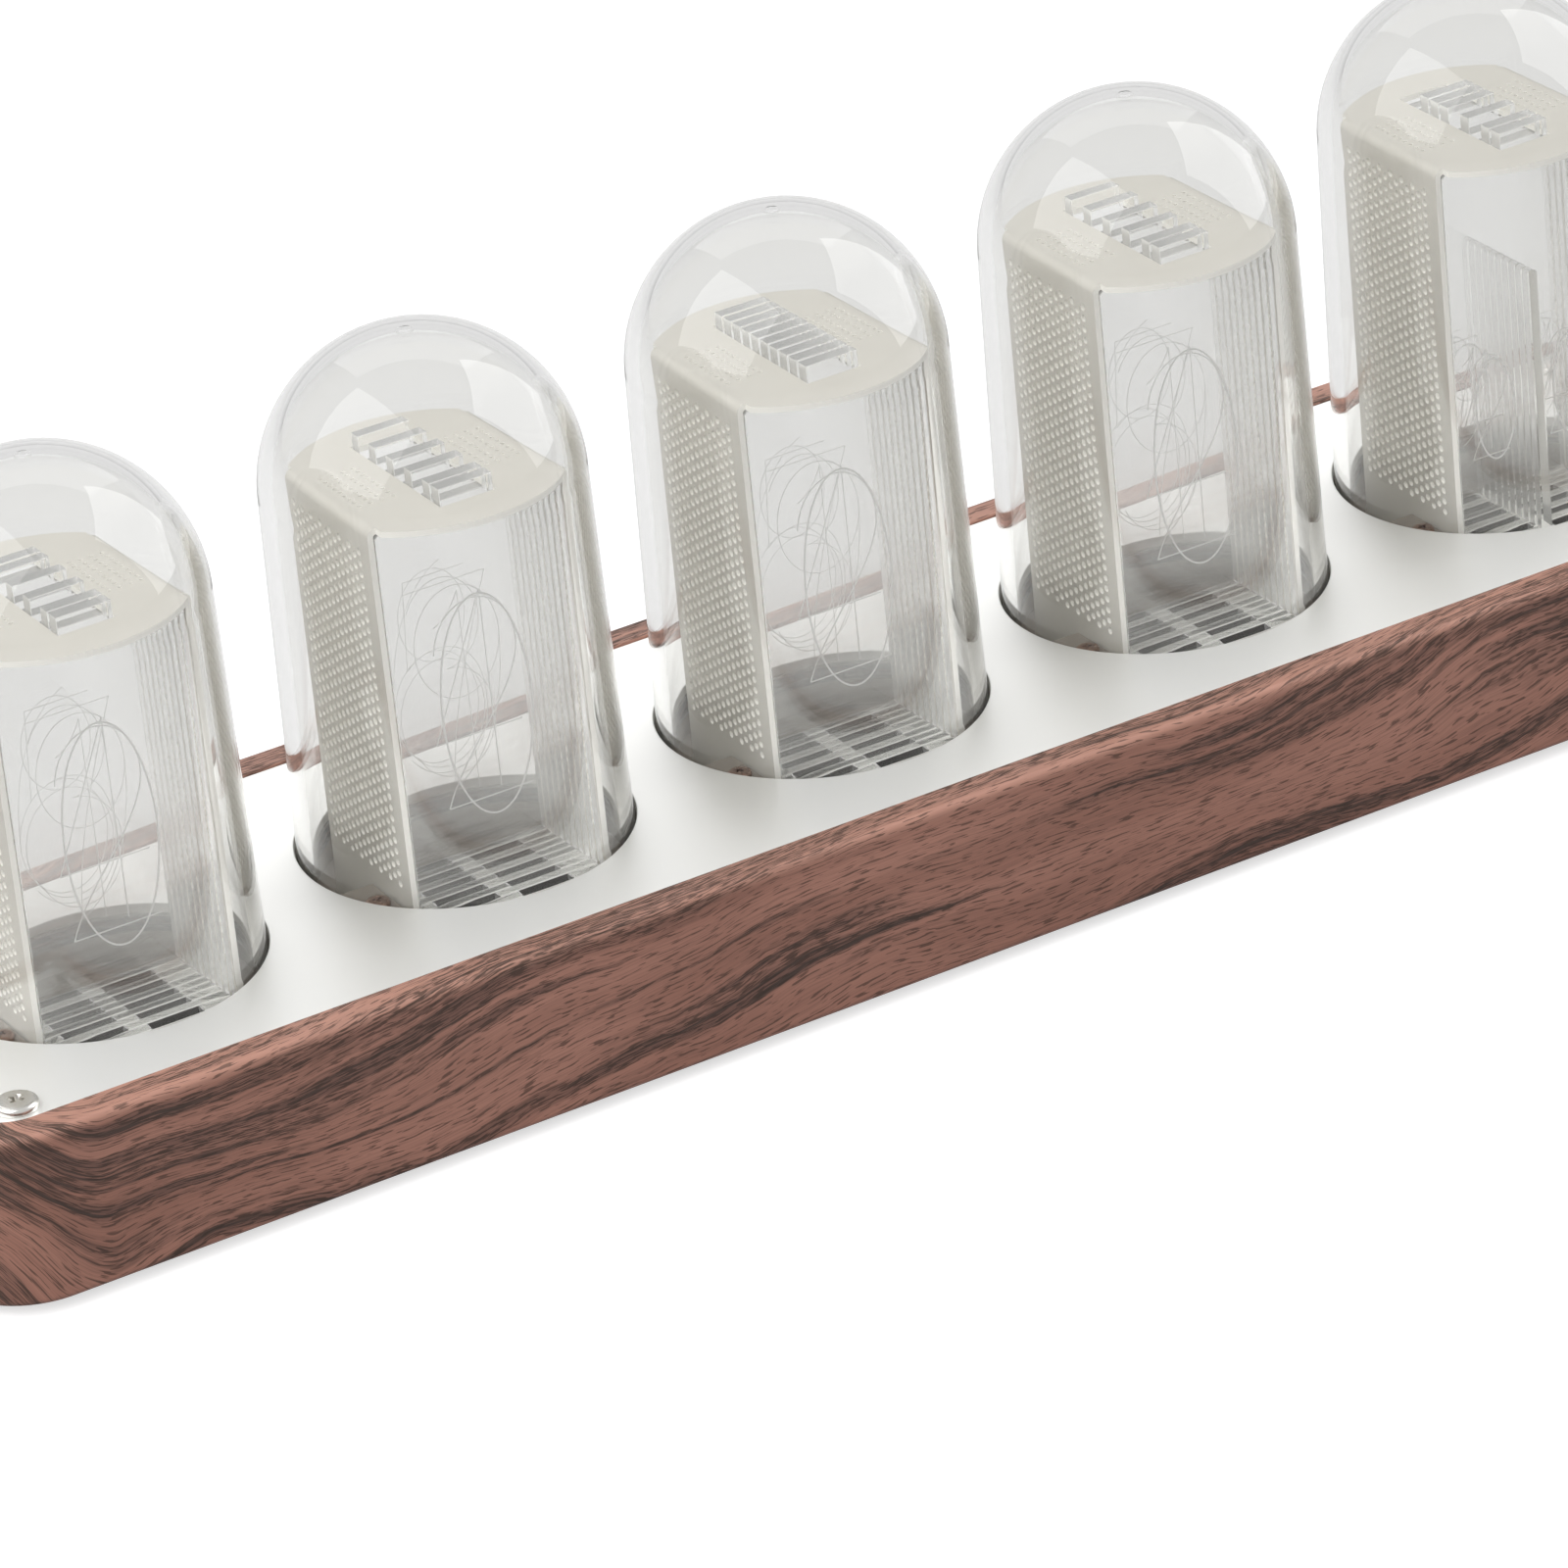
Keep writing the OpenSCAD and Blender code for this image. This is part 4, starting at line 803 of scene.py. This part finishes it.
# "tabs" lists, for each tube, which of its plates (0 is the front one) reach through the shroud's slot
plateForm = {"count": 10, "thickness": 2.0, "pitch": 2.4, "width": 26.8, "tab": 7.7, "tongue": 7.4,
             "tongueInner": 1.3, "tongueDepth": 3.6, "cornerCut": 0.6, "belowShroudTop": 1.0, "tabRise": 2.2,
             "slitTop": 58.9, "slitWidth": 1.6, "chamfer": 0.08,
             "tabs": [[0, 1, 3, 5, 7, 8], [0, 1, 3, 5, 7, 9], range(10), [0, 1, 3, 5, 7, 9], [0, 1, 3, 5, 6, 7]]}
plateMiddles = (np.arange(plateForm["count"]) - (plateForm["count"] - 1) / 2) * plateForm["pitch"]


# Where the tongue of a plate starts and ends in X: to the right of the middle under one plate, to the left of it
# under the next
def tongueSpan(k):
    first = plateForm["tongueInner"] if k % 2 == 0 else -plateForm["tongueInner"] - plateForm["tongue"]
    return first, first + plateForm["tongue"]


# The outline of one clear plate in X and Z, counter-clockwise from its lower left corner: a sheet with a tongue
# below, a tab above where it has one, and a slit between the two halves of the last tube's plates
def plateOutline(number, k, bottomZ, plateHeight):
    form = plateForm
    half, base, cut = form["width"] / 2, bottomZ + form["tongueDepth"], form["cornerCut"]
    first, last = tongueSpan(k)
    tongue = [[first, base], [first, bottomZ], [last, bottomZ], [last, base]]
    slit = []
    if number == 5:
        slitHalf = form["slitWidth"] / 2
        arch = [[slitHalf * math.cos(a), form["slitTop"] - slitHalf + slitHalf * math.sin(a)]
                for a in np.linspace(np.pi, 0, 13)]
        slit = [[-slitHalf, base], *arch, [slitHalf, base]]
    bottom = [[-half, base]] + (tongue + slit if k % 2 else slit + tongue) + [[half, base]]
    right = [[half, plateHeight - cut], [half - cut, plateHeight]]
    tabHalf, tabTop = form["tab"] / 2, plateHeight + form["belowShroudTop"] + form["tabRise"]
    tab = [[tabHalf, plateHeight], [tabHalf, tabTop], [-tabHalf, tabTop], [-tabHalf, plateHeight]]
    left = [[cut - half, plateHeight], [-half, plateHeight - cut]]
    hasTab = k in form["tabs"][number - 1]
    return np.array(bottom + right + (tab if hasTab else []) + left) + [tubeCentres[number - 1], 0]


def makePlates(number):
    form, low = plateForm, nodeBox(f"digit_plates_{number}")[0]
    plateHeight = nodeBox(f"mesh_shroud_{number}")[1][2] - form["belowShroudTop"]
    outlines = [plateOutline(number, k, low[2], plateHeight) for k in range(form["count"])]
    plates = prismStack(outlines, plateMiddles, form["thickness"], form["chamfer"])
    piece = pieceFrom(f"digitPlates{number}", *plates)
    # the cut edges take the second material
    normals = faceData(piece)[0]
    piece.data.polygons.foreach_set("material_index", (np.abs(normals[:, 1]) < 0.9).astype(np.int32))
    return smooth(piece, 20)


for number in tubeNumbers:
    finishPiece(makePlates(number), [acrylic, cutEdge], [f"digit_plates_{number}"])
print("digit plates ready")

# The numerals in millimetres: the front 0 is the tallest, the others stand a little higher, and the last tube's
# plates carry small pairs. "lines" are the line widths from the front plate on (the last one is kept), and "order"
# the numerals from front to back.
numeralForm = {"width": 13.0, "height": 31.6, "others": 28.6, "lift": 1.8, "bottom": 6.8, "smallWidth": 6.2,
               "smallHeight": 15.0, "smallOffset": 6.4, "lines": [0.26, 0.17, 0.15, 0.1], "depth": 0.05,
               "proud": 0.02, "order": [0, 2, 4, 1, 9, 7, 3, 5, 8, 6]}


# Part of an oval from one angle to another, in a box of one by one
def oval(cx, cy, rx, ry, start, end, steps=36):
    turn = np.radians(np.linspace(start, end, steps))
    return np.stack([cx + rx * np.cos(turn), cy + ry * np.sin(turn)], -1)


# A cubic curve through four control points: the sum of each point times its share at t
def bent(*controls, steps=24):
    t = np.linspace(0, 1, steps)[:, None]
    a, b, c, d = (np.array(p, float) for p in controls)
    return a * (1 - t) ** 3 + 3 * b * t * (1 - t) ** 2 + 3 * c * t ** 2 * (1 - t) + d * t ** 3


def straight(*corners, steps=8):
    corners = np.array(corners, float)
    share = np.linspace(0, len(corners) - 1, steps * (len(corners) - 1) + 1)
    return np.stack([np.interp(share, np.arange(len(corners)), corners[:, k]) for k in (0, 1)], -1)


numeralStrokes = {
    0: [oval(0.5, 0.5, 0.5, 0.5, 0, 360, 72)],
    1: [straight((0.5, 0), (0.5, 1)), bent((0.5, 1), (0.42, 0.92), (0.32, 0.87), (0.2, 0.85))],
    2: [np.vstack([oval(0.5, 0.74, 0.46, 0.26, 172, -28, 30),
                   bent((0.906, 0.62), (0.75, 0.42), (0.2, 0.22), (0.02, 0.0))]), straight((0.02, 0), (0.98, 0))],
    3: [oval(0.48, 0.77, 0.42, 0.23, 155, -90, 34), oval(0.48, 0.27, 0.48, 0.27, 90, -155, 38)],
    4: [straight((0.68, 0), (0.68, 1)), straight((0.68, 1), (0.02, 0.3)), straight((0.02, 0.3), (1.0, 0.3))],
    5: [straight((0.86, 1), (0.16, 1), (0.1, 0.56)), bent((0.1, 0.56), (0.35, 0.68), (0.95, 0.66), (0.95, 0.32)),
        bent((0.95, 0.32), (0.95, -0.04), (0.3, -0.08), (0.03, 0.12))],
    6: [oval(0.5, 0.28, 0.48, 0.28, 0, 360, 56), bent((0.02, 0.28), (0.04, 0.66), (0.3, 0.92), (0.72, 1.0))],
    7: [straight((0.02, 1), (0.96, 1)), bent((0.96, 1), (0.7, 0.68), (0.42, 0.36), (0.36, 0))],
    8: [oval(0.5, 0.77, 0.38, 0.23, 0, 360, 48), oval(0.5, 0.27, 0.48, 0.27, 0, 360, 56)],
    9: [oval(0.5, 0.72, 0.48, 0.28, 0, 360, 56), bent((0.98, 0.72), (0.96, 0.34), (0.7, 0.08), (0.28, 0.0))],
}


# A stroke as a thin bar: the line moved half its width to both sides, at two depths, with both ends closed
def strokeBar(line, width, front, back):
    line = line[np.concatenate([[True], np.linalg.norm(np.diff(line, axis=0), axis=1) > 1e-6])]
    along = np.gradient(line, axis=0)
    along /= np.linalg.norm(along, axis=1, keepdims=True)
    aside = np.stack([-along[:, 1], along[:, 0]], -1) * width / 2
    left, right, n = line - aside, line + aside, len(line)
    rows = [np.stack([p[:, 0], np.full(n, y), p[:, 1]], -1)
            for p, y in ((left, front), (right, front), (right, back), (left, back))]
    points = np.stack(rows, 1).reshape(-1, 3)
    faces = np.vstack([gridFaces(n, 4, closeColumns=True), [[3, 2, 1, 0]], np.arange(4)[None] + 4 * (n - 1)])
    return points, facesOutwards(points, [faces])[0]


def makeNumerals(number):
    form = numeralForm
    points, faces, start = [], [], 0
    for k, numeral in enumerate(form["order"]):
        size, lift, offsets = (form["width"], form["others"]), form["lift"], (0,)
        if number == 5:
            size, lift = (form["smallWidth"], form["smallHeight"]), 0
            offsets = (-form["smallOffset"], form["smallOffset"])
        elif numeral == 0:
            size, lift = (form["width"], form["height"]), 0
        front = plateMiddles[k] + plateForm["thickness"] / 2 + form["proud"]
        for offset in offsets:
            for stroke in numeralStrokes[numeral]:
                corner = [tubeCentres[number - 1] + offset, plateTop + form["bottom"] + lift]
                line = (stroke - [0.5, 0]) * size + corner
                bar, barFaces = strokeBar(line, form["lines"][min(k, 3)], front, front + form["depth"])
                points.append(bar)
                faces.append(barFaces + start)
                start += len(bar)
    return pieceFrom(f"engravedNumerals{number}", np.vstack(points), [np.vstack(faces)], closed=False)


for number in tubeNumbers:
    finishPiece(makeNumerals(number), engraving)
print("numerals ready")

guideForm = {"halfX": 13.3, "halfY": 12.1, "gap": 0.1, "bevel": 0.12, "corner": 0.6, "slotCorner": 0.2}


# The white block under the plates: a slab with one slot for each tongue, whose walls are black as painted shade in
# the deep slots
def makeGuide(number):
    form, centre = guideForm, tubeCentres[number - 1]
    low, high = nodeBox(f"light_guide_{number}")
    gap = form["gap"] + plateForm["thickness"] / 2
    slots = []
    for k in range(plateForm["count"]):
        first, last = tongueSpan(k)
        slots.append(rectangleLine(centre + first - form["gap"], centre + last + form["gap"],
                                   plateMiddles[k] - gap, plateMiddles[k] + gap, form["slotCorner"], 3))
    outline = rectangleLine(low[0], high[0], low[1], high[1], form["corner"], 4)
    piece = flatPlate(f"lightGuide{number}", outline, slots, low[2], high[2], form["bevel"], 1)
    piece = smooth(piece, 50, weighted=True)
    # the walls inside the outline take the second material, black as painted shade
    normals, centres = faceData(piece)
    inside = (np.abs(centres[:, 0] - centre) < form["halfX"] - 0.5) & (np.abs(centres[:, 1]) < form["halfY"] - 0.05)
    piece.data.polygons.foreach_set("material_index", (inside & (np.abs(normals[:, 2]) < 0.5)).astype(np.int32))
    return piece


for number in tubeNumbers:
    finishPiece(makeGuide(number), [guideWhite, slotShade], [f"light_guide_{number}"])
print("light guides ready")


def stadiumLine(x, y, width, height, steps=12):
    turn = np.linspace(-np.pi / 2, np.pi / 2, steps)
    right = np.stack([x + (width - height) / 2 + height / 2 * np.cos(turn), y + height / 2 * np.sin(turn)], -1)
    return np.vstack([right, 2 * np.array([x, y]) - right])


# The rear panel is drawn flat and stood up: its drawing's y becomes z and its height becomes y
def makeRearPanel():
    form, low, high = panelForm, *nodeBox("rear_panel")
    middle = (low[2] + high[2]) / 2
    port, *buttons = [float(sum(corner[0] for corner in nodeBox(name))) / 2
                      for name in ("usb_c_port", "mode_button", "up_button", "down_button")]
    screwX = nodeBox("rear_panel_screws")[1][0] - screwForms["m2"]["head"]
    holes = [circleLine(x, middle, form["button"], 48) for x in buttons]
    holes += [stadiumLine(port, middle, *form["mouth"])]
    holes += [circleLine(s * screwX, middle, form["screwHole"], 24) for s in (-1, 1)]
    outline = rectangleLine(low[0], high[0], low[2], high[2], form["corner"], 6)
    piece = flatPlate("rearPanel", outline, holes, 0, form["thickness"], form["bevel"])
    rear = (high[1] - form["thickness"]) / 1000
    piece.data.transform(Matrix(((1, 0, 0, 0), (0, 0, 1, rear), (0, 1, 0, 0), (0, 0, 0, 1))))
    orderFaces(piece)
    return smooth(piece, 50, weighted=True), [(s * screwX, high[1], middle) for s in (-1, 1)]


rearPanel, panelScrewPlaces = makeRearPanel()
finishPiece(rearPanel, blackPaint, ["rear_panel"])
finishPiece(screwSet("rearPanelScrews", "m2", 5.0, panelScrewPlaces, "back"), darkSteel,
            ["rear_panel_screws"])

buttonForm = {"collar": 1.0, "collarHeight": 1.2, "dishRadius": 0.9, "dishDepth": 0.12}


# A push button: a collar, a stem and a softly rounded, slightly dished cap, turned round an axis along Y
def makeButton(key):
    form, low, high = buttonForm, *nodeBox(f"{key}_button")
    x, z, rear, front = (low[0] + high[0]) / 2, (low[2] + high[2]) / 2, low[1], high[1]
    collar, step = (high[0] - low[0]) / 2, low[1] + form["collarHeight"]
    stem = collar - form["collar"]
    corners = [[0, rear], [collar, rear], [collar, step], [stem, step], [stem, front], [form["dishRadius"], front],
               [0, front - form["dishDepth"]]]
    points, faceSets = turned(roundCorners(corners, [0, 0.15, 0.15, 0, 0.45, 0.5, 0], 6), segments=64)
    points = np.stack([points[:, 0] + x, points[:, 2], points[:, 1] + z], -1)
    return smooth(pieceFrom(f"{key}Button", points, faceSets), 50)


for key in ("mode", "up", "down"):
    finishPiece(makeButton(key), buttonPlastic, [f"{key}_button"], f"{key}_key")
print("rear ready")

# CAD nodes whose shape is right keep it and take a finish
keptNodes = [
    (brass, ["frame_inserts", "pcb_standoffs"]), (greySilicone, ["dome_gaskets"]), (diodeResin, ["led_packages"]),
    (boardGreen, ["main_pcb", "rear_board"]), (steel, ["pcb_screws", "rear_board_screws"]),
    (chipPlastic, ["microcontroller", "clock_chip", "voltage_regulator"]), (ceramic, ["chip_capacitors"]),
    (canMetal, ["clock_crystal", "power_capacitors", "coin_cell", "usb_c_port"]), (whitePlastic, ["board_link"]),
    (darkPlastic, ["coin_cell_holder", "buzzer", "tact_switches"]),
    (creamPlastic, ["mode_plunger", "up_plunger", "down_plunger"]),
    (socketPlastic, [f"tube_socket_{number}" for number in tubeNumbers])]
for material, nodes in keptNodes:
    for node in nodes:
        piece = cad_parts[node]
        piece.data.materials.clear()
        piece.data.materials.append(material)

# Levels of light: "ambient" lights surfaces; "shown" is the background as the camera sees it and "mirrored" as
# glass and metal see it, and the floor has its own pair. The floor's reach is in metres.
studio = {"ambient": 0.52, "shown": 1.0, "mirrored": 0.78, "floorShown": 0.62, "floorMirrored": 0.23,
          "floorReach": 6.0, "floorTone": "#9e9e9e", "floorSeen": "#bcbcbc"}
# Each soft box: azimuth and elevation in degrees, distance, size in metres, radiance, and the rays that meet it
softBoxes = {"rightBox": (100, 30, 1.6, (1.4, 1.7), 2.2, "glossy"),
             "leftBox": (-92, 42, 1.6, (1.9, 1.7), 2.1, "glossy"),
             "backPanel": (28, 46, 2.2, (2.4, 1.4), 0.9, "glossy"),
             "leftLight": (-85, 42, 1.6, (1.5, 1.7), 2.1, "diffuse"),
             "frontLight": (-148, 36, 1.8, (1.4, 1.2), 2.6, "diffuse"),
             "rightLight": (100, 30, 1.6, (1.4, 1.7), 1.7, "diffuse"),
             "topLight": (0, 85, 1.8, (1.6, 1.6), 1.0, "diffuse")}


# 1 for rays that show the background itself or show it in metal and glass, 0 for rays that light surfaces
def backgroundRays(tree):
    path = put(tree, "LightPath")
    total = path.outputs["Is Camera Ray"]
    for ray in ("Is Glossy Ray", "Is Transmission Ray"):
        total = put(tree, "Math", {0: total, 1: path.outputs[ray]}, operation="MAXIMUM").outputs[0]
    return total


# The level of the background: one where the camera sees it, and one a little lower in glass and metal
def backgroundLevel(tree, shown, mirrored):
    path = put(tree, "LightPath")
    return put(tree, "MapRange", {"Value": path.outputs["Is Camera Ray"], "To Min": mirrored,
                                  "To Max": shown}).outputs[0]


# A round floor: rings of points at the square of an even spacing, flat at height 0
def makeFloor():
    rings = np.linspace(0, 1, 12)[1:] ** 2 * studio["floorReach"] * 1000
    profile = np.vstack([[[0, 0]], np.stack([rings, np.zeros(len(rings))], -1)])
    floor = pieceFrom("studioFloor", *turned(profile, segments=48), closed=False)
    material, tree = newMaterial("studioFloor")
    shader = put(tree, "BsdfPrincipled", {"Base Color": paint(studio["floorTone"]), "Roughness": 0.9,
                                          "Specular IOR Level": 0.0})
    seen = put(tree, "BsdfDiffuse", {"Color": paint(studio["floorSeen"])})
    level = backgroundLevel(tree, studio["floorShown"], studio["floorMirrored"])
    glow = put(tree, "Emission", {"Color": (1, 1, 1, 1), "Strength": level})
    both = put(tree, "AddShader", {0: seen.outputs[0], 1: glow.outputs[0]})
    mix = put(tree, "MixShader", {0: backgroundRays(tree), 1: shader.outputs[0], 2: both.outputs[0]})
    put(tree, "OutputMaterial", {"Surface": mix.outputs[0]})
    floor.data.materials.append(material)


def makeWorld():
    world = bpy.data.worlds.new("studioWorld")
    world.use_nodes = True
    tree = world.node_tree
    tree.nodes.clear()
    level = backgroundLevel(tree, studio["shown"], studio["mirrored"])
    shown = put(tree, "Background", {"Color": (1, 1, 1, 1), "Strength": level})
    soft = put(tree, "Background", {"Color": (1, 1, 1, 1), "Strength": studio["ambient"]})
    mix = put(tree, "MixShader", {0: backgroundRays(tree), 1: soft.outputs[0], 2: shown.outputs[0]})
    put(tree, "OutputWorld", {"Surface": mix.outputs[0]})
    scene.world = world


# The power of an even lamp is its radiance times pi times its area
def makeSoftBox(name, azimuth, elevation, distance, size, radiance, seenBy):
    lamp = bpy.data.lights.new(name, "AREA")
    lamp.shape, lamp.size, lamp.size_y = "RECTANGLE", size[0], size[1]
    lamp.energy = radiance * math.pi * size[0] * size[1]
    box = bpy.data.objects.new(name, lamp)
    direction = lookTo(math.radians(azimuth), math.radians(elevation))
    box.location = direction * distance + Vector((0, 0, 0.05))
    box.rotation_euler = direction.to_track_quat("Z", "Y").to_euler()
    scene.collection.objects.link(box)
    box.visible_camera = False
    box.visible_transmission = False
    box.visible_diffuse = seenBy == "diffuse"
    box.visible_glossy = seenBy == "glossy"


makeWorld()
makeFloor()
for name, values in softBoxes.items():
    makeSoftBox(name, *values)
print("studio ready")
